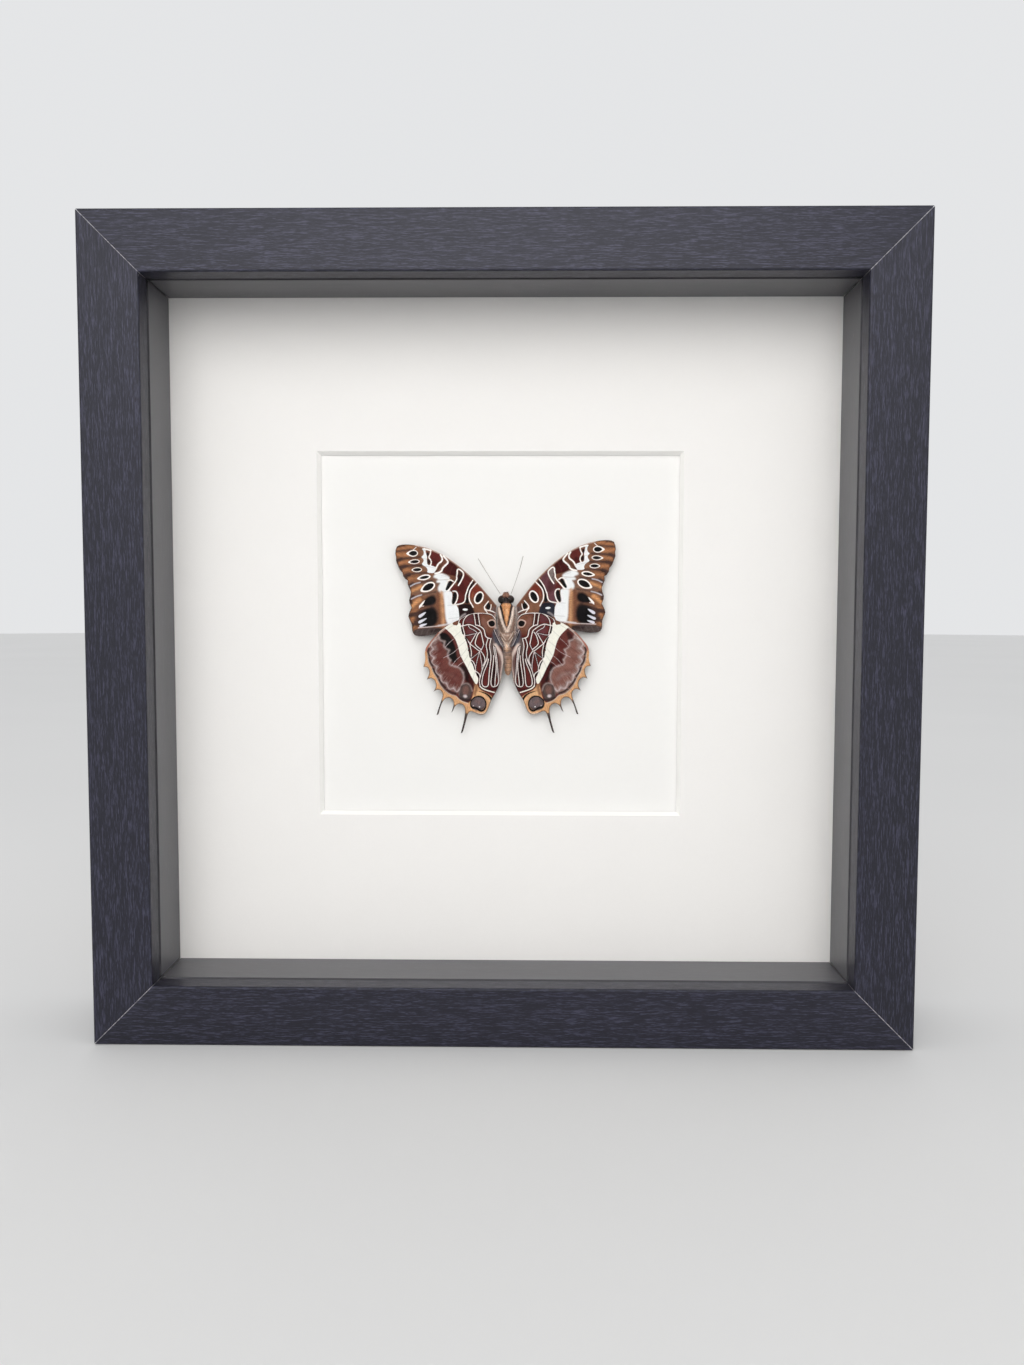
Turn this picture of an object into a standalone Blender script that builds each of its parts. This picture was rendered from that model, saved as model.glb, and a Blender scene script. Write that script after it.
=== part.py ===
"""Framed butterfly specimen: a deep square box frame with a mitred dark rail on each side,
a clear pane, spacer strips, a window mat, a mount board and a backboard held by bent tabs.
The specimen shows its underside and stands clear of the mount board on a small pad.

Metres, +Z up. The origin is under the middle of the frame, on the surface it stands on.
The frame's face looks along -Y. "Depth" is a distance behind that face, and a wing or body
point is given in millimetres from the specimen's own centre, outwards and upwards.
"""
import math

import bmesh
import bpy
from mathutils import Matrix, Vector

MM = 0.001

# Frame
FRAME_SIDE = 0.250
FRAME_DEPTH = 0.045
FACE_WIDTH = 0.0183
WALL = 0.010
LIP_DEPTH = 0.007
ARRIS = 0.0006
GAP = 0.0003

# Sheets, from the front
PANE_THICKNESS = 0.002
SPACER_DEPTH = 0.019
MAT_THICKNESS = 0.0014
BOARD_THICKNESS = 0.0015
BACKBOARD_THICKNESS = 0.003
WINDOW_SIDE = 0.1174
WINDOW_BEVEL = 0.0011
WINDOW_SHIFT = -0.0014

# Fittings on the back
TAB_LENGTH = 0.011
TAB_WIDTH = 0.007
TAB_THICKNESS = 0.0006
TAB_FLAT = 0.0075
TAB_LIFT = 0.0012
TAB_SPREAD = 0.055
TAB_ROUNDING = 0.0021
HANGER_LENGTH = 0.052
HANGER_HEIGHT = 0.011
HANGER_THICKNESS = 0.0008
HANGER_FOOT = 0.010
HANGER_STEP = 0.0026
HANGER_RAMP = 0.004
HANGER_BELOW_TOP = 0.042
TOOTH_PITCH = 0.003
TOOTH_DEPTH = 0.0014
RIVET_SHANK = 0.0013
RIVET_HEAD = 0.0026
RIVET_CROWN = 0.0011

# Specimen
SPECIMEN_X = 0.001
SPECIMEN_Z = FRAME_SIDE / 2
WING_THICKNESS = 0.00028
HINDWING_DEPTH = 0.02670
FOREWING_DEPTH = 0.02730
WING_DROOP = 0.0006
WING_REACH = 0.038
FOREWING_STEP = 1.3
HINDWING_STEP = 0.9
CUT_SPACING = 6.0
BODY_LEAN = math.radians(-1.6)
THORAX_DEPTH = 0.0269
THORAX_HALF_DEPTH = 0.0026
PAD_SIZE = (0.0040, 0.0070)
PAD_HEIGHT = 0.0035
PAD_ROUNDING = 0.0008
ANTENNA_RADIUS = 0.00017

# Depths that follow from the stack
PANE_FRONT = LIP_DEPTH + GAP
SPACER_FRONT = PANE_FRONT + PANE_THICKNESS + GAP
MAT_FRONT = SPACER_FRONT + SPACER_DEPTH + GAP
BOARD_FRONT = MAT_FRONT + MAT_THICKNESS + GAP
BACKBOARD_FRONT = BOARD_FRONT + BOARD_THICKNESS + GAP
BACKBOARD_BACK = BACKBOARD_FRONT + BACKBOARD_THICKNESS
SHEET_SIDE = FRAME_SIDE - 2 * WALL - 2 * GAP

# Wing outlines of the right side, as smooth runs that meet in corners
FOREWING_RUNS = [
    [(3.0, 9.6), (5.3, 12.7), (8.4, 16.6), (11.6, 20.1), (15.6, 23.7), (20.0, 26.9),
     (24.6, 29.1), (29.2, 30.2), (32.4, 30.4), (34.1, 29.9), (34.7, 27.6), (34.5, 26.6)],
    [(34.5, 26.6), (34.6, 25.4), (34.1, 24.0), (33.6, 22.6), (32.7, 21.5)],
    [(32.7, 21.5), (32.5, 20.3), (31.9, 19.4), (31.1, 18.9)],
    [(31.1, 18.9), (31.2, 17.6), (30.8, 16.5), (30.3, 15.3)],
    [(30.3, 15.3), (30.5, 14.0), (31.0, 12.6), (30.9, 11.6), (30.3, 10.2)],
    [(30.3, 10.2), (31.0, 8.9), (31.5, 7.4), (31.0, 6.0), (30.5, 4.6), (30.5, 2.8),
     (29.9, 1.4), (28.6, 0.9), (26.6, 0.8), (24.4, 1.1), (21.6, 1.6), (18.0, 2.6),
     (12.0, 3.6), (6.0, 4.4), (3.25, 5.2)],
    [(3.25, 5.2), (3.25, 7.6), (3.0, 9.6)],
]
HINDWING_RUNS = [
    [(3.25, 7.2), (6.0, 7.1), (9.0, 7.3), (12.2, 6.7), (15.2, 5.1), (18.0, 3.8),
     (20.9, 1.9), (22.8, 0.2), (24.6, -1.8), (25.9, -3.6), (26.3, -5.4), (26.2, -7.0),
     (26.4, -8.4), (26.9, -9.8)],
    [(26.9, -9.8), (25.6, -10.0), (25.0, -11.1), (25.2, -12.4), (25.9, -13.9)],
    [(25.9, -13.9), (24.6, -13.5), (23.5, -14.1), (23.0, -15.4), (23.1, -16.6), (23.8, -17.8)],
    [(23.8, -17.8), (22.6, -17.2), (21.5, -17.5), (20.9, -18.6), (21.1, -20.0),
     (21.6, -21.4), (22.4, -23.6), (23.0, -25.4)],
    [(23.0, -25.4), (22.5, -25.3), (21.8, -23.2), (21.1, -21.5), (20.3, -20.4),
     (19.4, -19.9), (18.4, -20.0), (17.6, -20.8), (17.4, -22.0), (17.7, -23.3), (18.2, -24.7)],
    [(18.2, -24.7), (17.7, -24.2), (17.2, -23.1), (16.5, -22.3), (15.4, -21.9),
     (14.4, -22.3), (13.8, -23.4), (13.8, -25.0), (14.2, -27.4), (14.8, -29.7), (15.3, -31.5)],
    [(15.3, -31.5), (14.8, -31.3), (14.1, -29.4), (13.4, -27.0), (12.9, -25.4),
     (12.5, -24.7), (11.9, -24.4), (11.0, -24.7), (9.6, -25.4), (8.2, -25.6), (7.1, -25.1),
     (6.3, -23.8), (5.6, -21.9), (5.0, -20.5)],
    [(5.0, -20.5), (4.0, -18.9), (2.9, -16.8), (2.0, -14.6), (1.6, -12.4), (1.2, -10.5),
     (0.95, -8.5), (0.95, -6.5), (1.4, -4.9), (1.9, -3.4), (2.3, -1.8), (2.9, 0.2),
     (3.2, 2.5), (3.25, 7.2)],
]

# How each wing was set: side, outward shift, upward shift and turn about its root
WING_ROOT = (3.3, 8.5)
WING_SETTINGS = {
    "forewing_right": (1, 0.0, 0.0, 0.0),
    "forewing_left": (-1, 0.35, -0.1, 2.7),
    "hindwing_right": (1, 0.0, 0.0, 0.0),
    "hindwing_left": (-1, 0.4, 0.0, 1.1),
}

# Body sections: height, half width, half depth and distance in front of the thorax's middle
BODY_SECTIONS = [
    (-12.8, 0.15, 0.15, 1.6), (-12.5, 0.50, 0.45, 1.6), (-11.6, 0.88, 0.85, 1.6),
    (-9.6, 1.20, 1.15, 1.6), (-7.2, 1.30, 1.20, 1.6), (-5.2, 1.28, 1.20, 1.6),
    (-3.8, 1.25, 1.25, 1.1), (-2.6, 1.50, 1.50, 0.4), (-1.0, 2.10, 2.10, 0.0),
    (1.0, 2.60, 2.45, 0.0), (3.5, 2.88, 2.60, 0.0), (6.2, 2.86, 2.55, 0.0),
    (8.2, 2.62, 2.30, 0.1), (9.4, 2.10, 1.80, 0.3), (10.1, 1.55, 1.35, 0.5),
    (11.0, 1.75, 1.50, 0.5), (12.0, 1.70, 1.45, 0.5), (12.8, 1.15, 1.05, 0.5),
    (13.1, 0.35, 0.35, 0.5),
]
BODY_SIDES = 20
EYE_PLACE = (1.45, 11.5, 0.6)
EYE_SIZE = (1.36, 1.30, 1.36)
PALP_RUN = [(0.45, 12.3, 1.0), (0.42, 13.0, 1.4), (0.25, 13.7, 1.5)]
PALP_RADII = (0.42, 0.40, 0.14)
TUBE_STEP = 1.4

# Folded legs: places across the body with how proud each stands, and radii from hip to foot
LEG_RUNS = {
    "fore": ([(2.0, 9.3, -0.3), (1.95, 8.4, 0.2), (1.6, 6.2, 0.25), (1.0, 3.9, 0.2),
              (0.35, 1.8, 0.1)], (0.25, 0.42, 0.40, 0.34, 0.16)),
    "hind": ([(2.3, 2.3, -0.3), (2.15, 1.4, 0.2), (1.6, -0.4, 0.25), (1.0, -2.2, 0.3),
              (0.5, -4.0, 0.1)], (0.25, 0.38, 0.36, 0.28, 0.14)),
}

# Feelers: outward, upward and forward places from root to tip
ANTENNA_RUNS = {
    "antenna_right": [(1.35, 13.35, 1.0), (2.6, 16.8, 1.5), (4.0, 21.0, 1.8), (5.1, 25.2, 1.7)],
    "antenna_left": [(-2.2, 13.25, 1.0), (-4.3, 16.5, 1.5), (-6.9, 20.6, 1.8), (-9.2, 24.4, 1.7)],
}

COLOURS = {
    "rail": ((0.035, 0.033, 0.044), 0.55, 0.0),
    "pane": ((0.80, 0.85, 0.85), 0.05, 0.0),
    "spacer": ((0.055, 0.054, 0.062), 0.6, 0.0),
    "mat": ((0.84, 0.83, 0.81), 0.9, 0.0),
    "board": ((0.88, 0.87, 0.84), 0.9, 0.0),
    "backboard": ((0.23, 0.13, 0.07), 0.8, 0.0),
    "steel": ((0.55, 0.55, 0.56), 0.35, 1.0),
    "foam": ((0.80, 0.79, 0.75), 0.9, 0.0),
    "wing": ((0.24, 0.11, 0.07), 0.7, 0.0),
    "body": ((0.42, 0.26, 0.17), 0.8, 0.0),
    "feeler": ((0.20, 0.17, 0.15), 0.6, 0.0),
}


def clear_scene():
    for thing in list(bpy.data.objects):
        bpy.data.objects.remove(thing, do_unlink=True)


def finish_material(name, finish):
    colour, roughness, metallic = COLOURS[finish]
    material = bpy.data.materials.new(name)
    material.use_nodes = True
    shader = material.node_tree.nodes["Principled BSDF"]
    shader.inputs["Base Color"].default_value = (*colour, 1.0)
    shader.inputs["Roughness"].default_value = roughness
    shader.inputs["Metallic"].default_value = metallic
    return material


def add_object(name, bm, finish, smooth_angle=None):
    """Turn a bmesh into an object of the scene, with a material of its own."""
    bmesh.ops.recalc_face_normals(bm, faces=bm.faces)
    if bm.calc_volume(signed=True) < 0:
        bmesh.ops.reverse_faces(bm, faces=bm.faces)
    mesh = bpy.data.meshes.new(name)
    bm.to_mesh(mesh)
    bm.free()
    if smooth_angle is not None:
        mesh.shade_smooth()
        mesh.set_sharp_from_angle(angle=math.radians(smooth_angle))
    thing = bpy.data.objects.new(name, mesh)
    mesh.materials.append(finish_material(name, finish))
    bpy.context.scene.collection.objects.link(thing)
    return thing


def depth_to_y(depth):
    return depth - FRAME_DEPTH / 2


def add_cutter(name, bm):
    cutter = add_object(name, bm, "steel")
    cutter.hide_render = True
    cutter.display_type = "WIRE"
    return cutter


def add_boolean(thing, other, operation):
    modifier = thing.modifiers.new(operation.lower(), "BOOLEAN")
    modifier.operation = operation
    modifier.object = other
    modifier.solver = "EXACT"
    return modifier


def box_mesh(size, centre):
    bm = bmesh.new()
    place = Matrix.Translation(centre) @ Matrix.Diagonal((*size, 1.0))
    bmesh.ops.create_cube(bm, size=1.0, matrix=place)
    return bm


# Mitred bars: rails and spacer strips

def arc(centre, radius, start, stop, steps):
    turns = [math.radians(start + (stop - start) * k / steps) for k in range(steps + 1)]
    return [(centre[0] + radius * math.cos(a), centre[1] + radius * math.sin(a)) for a in turns]


def rail_section():
    """The rail's L section, as inset from the outer edge and depth behind the face."""
    outer_arris = arc((ARRIS, ARRIS), ARRIS, 180, 270, 3)
    lip_arris = arc((FACE_WIDTH - ARRIS, ARRIS), ARRIS, 270, 360, 3)
    return outer_arris + lip_arris + [
        (FACE_WIDTH, LIP_DEPTH), (WALL, LIP_DEPTH), (WALL, FRAME_DEPTH), (0.0, FRAME_DEPTH)]


def spacer_section():
    back = SPACER_FRONT + SPACER_DEPTH
    inner = WALL + GAP
    return [(inner, SPACER_FRONT), (FACE_WIDTH, SPACER_FRONT), (FACE_WIDTH, back), (inner, back)]


def mitred_bar(name, section, finish, quarter_turns):
    """A bar along the bottom with both ends cut at 45 degrees, turned about the frame's middle."""
    half = FRAME_SIDE / 2
    bm = bmesh.new()
    near_end = []
    for inset, depth in section:
        along = half - inset - GAP / 2
        near_end.append(bm.verts.new((-along, depth_to_y(depth), inset - half)))
    end_face = bm.faces.new(near_end)
    grown = bmesh.ops.extrude_face_region(bm, geom=[end_face])
    for part in grown["geom"]:
        if isinstance(part, bmesh.types.BMVert):
            part.co.x = -part.co.x
    bar = add_object(name, bm, finish, smooth_angle=40)
    bar.location = (0, 0, half)
    bar.rotation_euler = (0, quarter_turns * math.pi / 2, 0)
    return bar


def build_bars():
    for quarter_turns, side in enumerate(("bottom", "left", "top", "right")):
        mitred_bar("rail_" + side, rail_section(), "rail", quarter_turns)
        mitred_bar("spacer_" + side, spacer_section(), "spacer", quarter_turns)


# Sheets

def build_sheet(name, front, thickness, finish):
    centre = Vector((0, depth_to_y(front + thickness / 2), FRAME_SIDE / 2))
    return add_object(name, box_mesh((SHEET_SIDE, thickness, SHEET_SIDE), centre), finish)


def square_loop(bm, side, depth, shift):
    half = side / 2
    corners = [(-half, -half), (half, -half), (half, half), (-half, half)]
    middle = FRAME_SIDE / 2
    ring = [bm.verts.new((x + shift, depth_to_y(depth), z + middle)) for x, z in corners]
    return [bm.edges.new((ring[k], ring[(k + 1) % 4])) for k in range(4)]


def build_mat():
    """A square sheet whose window has a sloping cut edge, wider at the front."""
    bm = bmesh.new()
    back = MAT_FRONT + MAT_THICKNESS
    loops = [
        square_loop(bm, SHEET_SIDE, MAT_FRONT, 0.0),
        square_loop(bm, WINDOW_SIDE, MAT_FRONT, WINDOW_SHIFT),
        square_loop(bm, WINDOW_SIDE - 2 * WINDOW_BEVEL, back, WINDOW_SHIFT),
        square_loop(bm, SHEET_SIDE, back, 0.0),
    ]
    for k in range(4):
        bmesh.ops.bridge_loops(bm, edges=loops[k] + loops[(k + 1) % 4])
    return add_object("mat_board", bm, "mat")


# Fittings on the back

def build_tabs():
    """Bent metal tabs that stand out of the rails' inner walls and hold the backboard in."""
    inner_wall = FRAME_SIDE / 2 - WALL - GAP
    for quarter_turns, side in enumerate(("bottom", "left", "top", "right")):
        for place, along in (("a", -TAB_SPREAD), ("b", TAB_SPREAD)):
            bm = bmesh.new()
            near = depth_to_y(BACKBOARD_BACK + GAP)
            half = TAB_WIDTH / 2
            corners = [(along - half, -inner_wall), (along + half, -inner_wall),
                       (along + half, TAB_LENGTH - inner_wall),
                       (along - half, TAB_LENGTH - inner_wall)]
            blade = bm.faces.new([bm.verts.new((x, near, z)) for x, z in corners])
            tip = [v for v in bm.verts if v.co.z > -inner_wall]
            bmesh.ops.bevel(bm, geom=tip, offset=TAB_ROUNDING, segments=3, profile=0.5,
                            affect="VERTICES", material=-1)
            bend = Vector((0, near, TAB_FLAT - inner_wall))
            bmesh.ops.bisect_plane(bm, geom=bm.verts[:] + bm.edges[:] + bm.faces[:],
                                   plane_co=bend, plane_no=(0, 0, 1))
            grown = bmesh.ops.extrude_face_region(bm, geom=bm.faces[:])
            far = [part for part in grown["geom"] if isinstance(part, bmesh.types.BMVert)]
            bmesh.ops.translate(bm, vec=(0, TAB_THICKNESS, 0), verts=far)
            for vert in bm.verts:
                past = max(0.0, vert.co.z - bend.z)
                vert.co.y += TAB_LIFT * past / (TAB_LENGTH - TAB_FLAT)
            tab = add_object("tab_" + side + "_" + place, bm, "steel", smooth_angle=30)
            tab.location = (0, 0, FRAME_SIDE / 2)
            tab.rotation_euler = (0, quarter_turns * math.pi / 2, 0)


def hanger_outline():
    """The flat strip before bending: a plain top edge and a toothed lower edge."""
    half = HANGER_LENGTH / 2
    toothed = half - HANGER_FOOT - HANGER_RAMP
    count = round(2 * toothed / TOOTH_PITCH)
    pitch = 2 * toothed / count
    lower = [(-half, 0.0), (-toothed, 0.0)]
    for k in range(count):
        lower.append((-toothed + pitch * (k + 0.5), TOOTH_DEPTH))
        lower.append((-toothed + pitch * (k + 1), 0.0))
    return lower + [(half, 0.0), (half, HANGER_HEIGHT), (-half, HANGER_HEIGHT)]


def hanger_lift(x):
    """How far the strip stands off its feet at a distance from its middle."""
    inner = HANGER_LENGTH / 2 - HANGER_FOOT - HANGER_RAMP
    return HANGER_STEP * min(1.0, max(0.0, 1.0 - (abs(x) - inner) / HANGER_RAMP))


def rivet_places():
    x = HANGER_LENGTH / 2 - HANGER_FOOT / 2
    z = FRAME_SIDE - HANGER_BELOW_TOP + HANGER_HEIGHT / 2
    return [("left", Vector((-x, 0, z))), ("right", Vector((x, 0, z)))]


def build_hanger():
    base_z = FRAME_SIDE - HANGER_BELOW_TOP
    near = depth_to_y(BACKBOARD_BACK + GAP)
    bm = bmesh.new()
    bm.faces.new([bm.verts.new((x, near, base_z + z)) for x, z in hanger_outline()])
    inner = HANGER_LENGTH / 2 - HANGER_FOOT - HANGER_RAMP
    for fold in (-inner - HANGER_RAMP, -inner, inner, inner + HANGER_RAMP):
        bmesh.ops.bisect_plane(bm, geom=bm.verts[:] + bm.edges[:] + bm.faces[:],
                               plane_co=(fold, 0, 0), plane_no=(1, 0, 0), dist=1e-6)
    grown = bmesh.ops.extrude_face_region(bm, geom=bm.faces[:])
    far = [part for part in grown["geom"] if isinstance(part, bmesh.types.BMVert)]
    bmesh.ops.translate(bm, vec=(0, HANGER_THICKNESS, 0), verts=far)
    for vert in bm.verts:
        vert.co.y += hanger_lift(vert.co.x)
    hanger = add_object("hanger_plate", bm, "steel")
    for side, place in rivet_places():
        hole = bmesh.new()
        turned = Matrix.Translation(place) @ Matrix.Rotation(math.pi / 2, 4, "X")
        bmesh.ops.create_cone(hole, cap_ends=True, segments=16, radius1=RIVET_SHANK + GAP,
                              radius2=RIVET_SHANK + GAP, depth=2 * FRAME_DEPTH, matrix=turned)
        cutter = add_cutter("rivet_hole_" + side, hole)
        add_boolean(hanger, cutter, "DIFFERENCE")
        add_boolean(bpy.data.objects["backboard"], cutter, "DIFFERENCE")


def build_rivets():
    """Round-headed rivets through the hanger's feet, flush with the backboard's front."""
    foot_back = BACKBOARD_BACK + GAP + HANGER_THICKNESS + GAP
    for side, place in rivet_places():
        bm = bmesh.new()
        profile = [(0.0, BACKBOARD_FRONT + GAP), (RIVET_SHANK, BACKBOARD_FRONT + GAP),
                   (RIVET_SHANK, foot_back), (RIVET_HEAD, foot_back)]
        for k in range(1, 5):
            turn = math.radians(90 * k / 4)
            profile.append((RIVET_HEAD * math.cos(turn), foot_back + RIVET_CROWN * math.sin(turn)))
        profile[-1] = (0.0, foot_back + RIVET_CROWN)
        ring = [bm.verts.new((place.x + r, depth_to_y(d), place.z)) for r, d in profile]
        edges = [bm.edges.new(pair) for pair in zip(ring, ring[1:])]
        bmesh.ops.spin(bm, geom=ring + edges, cent=place, axis=(0, 1, 0),
                       angle=2 * math.pi, steps=16, use_merge=True)
        bmesh.ops.remove_doubles(bm, verts=bm.verts, dist=1e-6)
        add_object("hanger_rivet_" + side, bm, "steel", smooth_angle=40)


# Specimen

def smooth_run(points, step):
    """Points along a centripetal Catmull-Rom curve, without the run's last point."""
    knots = [Vector(p) for p in points]
    if len(knots) == 2:
        return [knots[0]]
    knots = [2 * knots[0] - knots[1]] + knots + [2 * knots[-1] - knots[-2]]
    found = []
    for a, b, c, d in zip(knots, knots[1:], knots[2:], knots[3:]):
        t = [0.0]
        for p, q in ((a, b), (b, c), (c, d)):
            t.append(t[-1] + math.sqrt((q - p).length))
        count = max(1, math.ceil((c - b).length / step))
        for k in range(count):
            s = t[1] + (t[2] - t[1]) * k / count
            ab = a.lerp(b, (s - t[0]) / (t[1] - t[0]))
            bc = b.lerp(c, (s - t[1]) / (t[2] - t[1]))
            cd = c.lerp(d, (s - t[2]) / (t[3] - t[2]))
            abc = ab.lerp(bc, (s - t[0]) / (t[2] - t[0]))
            bcd = bc.lerp(cd, (s - t[1]) / (t[3] - t[1]))
            found.append(abc.lerp(bcd, (s - t[1]) / (t[2] - t[1])))
    return found


def wing_droop(x, z):
    """Wings droop a little towards the board, more the further they reach."""
    return WING_DROOP * ((x * x + z * z) / WING_REACH ** 2)


def build_wing(name, runs, depth, step):
    side, shift_out, shift_up, turn = WING_SETTINGS[name]
    bm = bmesh.new()
    outline = [point for run in runs for point in smooth_run(run, step)]
    bm.faces.new([bm.verts.new((x * MM, 0, z * MM)) for x, z in outline])
    low = math.floor(min(p[1] for p in outline) / CUT_SPACING)
    high = math.ceil(WING_REACH / MM / CUT_SPACING)
    for k in range(low, high):
        for place, normal in (((k * CUT_SPACING * MM, 0, 0), (1, 0, 0)),
                              ((0, 0, k * CUT_SPACING * MM), (0, 0, 1))):
            bmesh.ops.bisect_plane(bm, geom=bm.verts[:] + bm.edges[:] + bm.faces[:],
                                   plane_co=place, plane_no=normal, dist=1e-5)
    bmesh.ops.triangulate(bm, faces=bm.faces)
    grown = bmesh.ops.extrude_face_region(bm, geom=bm.faces[:])
    far = [part for part in grown["geom"] if isinstance(part, bmesh.types.BMVert)]
    bmesh.ops.translate(bm, vec=(0, WING_THICKNESS, 0), verts=far)
    root = Vector((WING_ROOT[0] * MM, 0, WING_ROOT[1] * MM))
    about_root = Matrix.Translation(root) @ Matrix.Rotation(math.radians(turn), 4, "Y")
    bmesh.ops.transform(bm, matrix=about_root @ Matrix.Translation(-root), verts=bm.verts)
    shift = Vector((shift_out * MM, 0, shift_up * MM))
    bmesh.ops.translate(bm, vec=shift, verts=bm.verts)
    for vert in bm.verts:
        vert.co.y += wing_droop(vert.co.x, vert.co.z)
        vert.co.x *= side
    wing = add_object(name, bm, "wing", smooth_angle=30)
    wing.location = (SPECIMEN_X, depth_to_y(depth), SPECIMEN_Z)
    return wing


def ring_verts(bm, centre, across, up, radius_x, radius_y, sides):
    ring = []
    for k in range(sides):
        turn = 2 * math.pi * k / sides
        place = centre + across * (radius_x * math.cos(turn)) + up * (radius_y * math.sin(turn))
        ring.append(bm.verts.new(place))
    return ring


def skin_rings(bm, rings):
    """Join rings into one closed tube with flat ends."""
    for lower, upper in zip(rings, rings[1:]):
        count = len(lower)
        for k in range(count):
            after = (k + 1) % count
            bm.faces.new((lower[k], lower[after], upper[after], upper[k]))
    bm.faces.new(rings[0])
    bm.faces.new(rings[-1])


def body_place(x, z, forward):
    """A body point in millimetres, in the body's own space before it leans."""
    return Vector((x * MM, -forward * MM, z * MM))


def tube_mesh(points, radii, sides):
    """A tapered round tube along a smooth path of a few hand-set points."""
    fine = smooth_run(points, TUBE_STEP) + [Vector(points[-1])]
    lengths = [0.0]
    for a, b in zip(fine, fine[1:]):
        lengths.append(lengths[-1] + (b - a).length)
    bm = bmesh.new()
    rings = []
    for k, point in enumerate(fine):
        along = fine[min(k + 1, len(fine) - 1)] - fine[max(k - 1, 0)]
        along = Vector((along.x, -along.z, along.y)).normalized()
        across = along.cross(Vector((0, 1, 0))).normalized()
        up = across.cross(along)
        share = lengths[k] / lengths[-1] * (len(radii) - 1)
        low = min(int(share), len(radii) - 2)
        radius = radii[low] + (radii[low + 1] - radii[low]) * (share - low)
        centre = body_place(point.x, point.y, point.z)
        rings.append(ring_verts(bm, centre, across, up, radius * MM, radius * MM, sides))
    skin_rings(bm, rings)
    return bm


def section_at(height):
    """Half width, half depth and forward offset of the body at a height."""
    for lower, upper in zip(BODY_SECTIONS, BODY_SECTIONS[1:]):
        if lower[0] <= height <= upper[0]:
            share = (height - lower[0]) / (upper[0] - lower[0])
            return [a + (b - a) * share for a, b in zip(lower[1:], upper[1:])]
    return list(BODY_SECTIONS[0][1:])


def on_thorax(x, z, proud):
    """A point a little proud of the body's front surface."""
    half_width, half_depth, forward = section_at(z)
    across = min(0.98, abs(x) / half_width)
    return (x, z, forward + half_depth * math.sqrt(1 - across * across) + proud)


def build_body():
    """Head, eyes, palps, thorax, folded legs and abdomen, grown as one piece."""
    bm = bmesh.new()
    rings = []
    for height, half_width, half_depth, forward in BODY_SECTIONS:
        centre = body_place(0.0, height, forward)
        rings.append(ring_verts(bm, centre, Vector((1, 0, 0)), Vector((0, -1, 0)),
                                half_width * MM, half_depth * MM, BODY_SIDES))
    skin_rings(bm, rings)
    body = add_object("body", bm, "body", smooth_angle=50)
    grafts = []
    for side, sign in (("left", -1), ("right", 1)):
        eye = bmesh.new()
        place = body_place(sign * EYE_PLACE[0], EYE_PLACE[1], EYE_PLACE[2])
        shape = Matrix.Diagonal((*[size * MM for size in EYE_SIZE], 1.0))
        bmesh.ops.create_uvsphere(eye, u_segments=14, v_segments=9, radius=1.0,
                                  matrix=Matrix.Translation(place) @ shape)
        grafts.append(("eye_" + side, eye))
        palp = [(sign * x, z, forward) for x, z, forward in PALP_RUN]
        grafts.append(("palp_" + side, tube_mesh(palp, PALP_RADII, 8)))
        for leg, (places, radii) in LEG_RUNS.items():
            route = [on_thorax(sign * x, z, proud) for x, z, proud in places]
            grafts.append((leg + "_leg_" + side, tube_mesh(route, radii, 8)))
    thorax_place = Matrix.Translation((SPECIMEN_X, depth_to_y(THORAX_DEPTH), SPECIMEN_Z))
    lean = thorax_place @ Matrix.Rotation(BODY_LEAN, 4, "Y")
    body.matrix_world = lean
    for name, shape in grafts:
        graft = add_cutter(name, shape)
        graft.matrix_world = lean
        add_boolean(body, graft, "UNION")
    return body


def build_antenna(name, points):
    radius = ANTENNA_RADIUS / MM
    bm = tube_mesh(points, (radius, radius, radius, radius, radius * 1.7), 6)
    feeler = add_object(name, bm, "feeler", smooth_angle=60)
    feeler.location = (SPECIMEN_X, depth_to_y(THORAX_DEPTH), SPECIMEN_Z)


def build_pad():
    """A small pad between the thorax's back and the mount board."""
    front = THORAX_DEPTH + THORAX_HALF_DEPTH + GAP
    back = BOARD_FRONT - GAP
    centre = Vector((SPECIMEN_X, depth_to_y((front + back) / 2), SPECIMEN_Z + PAD_HEIGHT))
    bm = box_mesh((PAD_SIZE[0], back - front, PAD_SIZE[1]), centre)
    upright = [e for e in bm.edges if abs(e.verts[0].co.y - e.verts[1].co.y) > 1e-6]
    bmesh.ops.bevel(bm, geom=upright, offset=PAD_ROUNDING, segments=3, profile=0.5,
                    affect="EDGES", material=-1)
    return add_object("specimen_pad", bm, "foam")


def build_specimen():
    build_pad()
    build_body()
    for name, points in ANTENNA_RUNS.items():
        build_antenna(name, points)
    for side in ("left", "right"):
        build_wing("forewing_" + side, FOREWING_RUNS, FOREWING_DEPTH, FOREWING_STEP)
        build_wing("hindwing_" + side, HINDWING_RUNS, HINDWING_DEPTH, HINDWING_STEP)


def build():
    clear_scene()
    build_bars()
    build_sheet("glazing_pane", PANE_FRONT, PANE_THICKNESS, "pane")
    build_mat()
    build_sheet("mount_board", BOARD_FRONT, BOARD_THICKNESS, "board")
    build_sheet("backboard", BACKBOARD_FRONT, BACKBOARD_THICKNESS, "backboard")
    build_tabs()
    build_hanger()
    build_rivets()
    build_specimen()


build()
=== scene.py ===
"""Framed butterfly specimen: finishes, painted wings, body, hairs, clear pane and studio.

Metres, +Z up, in the frame's own place: the face looks along -Y. Wing and body places are in
millimetres from the specimen's centre, outwards and upwards, and are given for the right side.
"""
import math

import bmesh
import bpy
import numpy as np
from mathutils import Matrix, Vector, kdtree, noise


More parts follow.
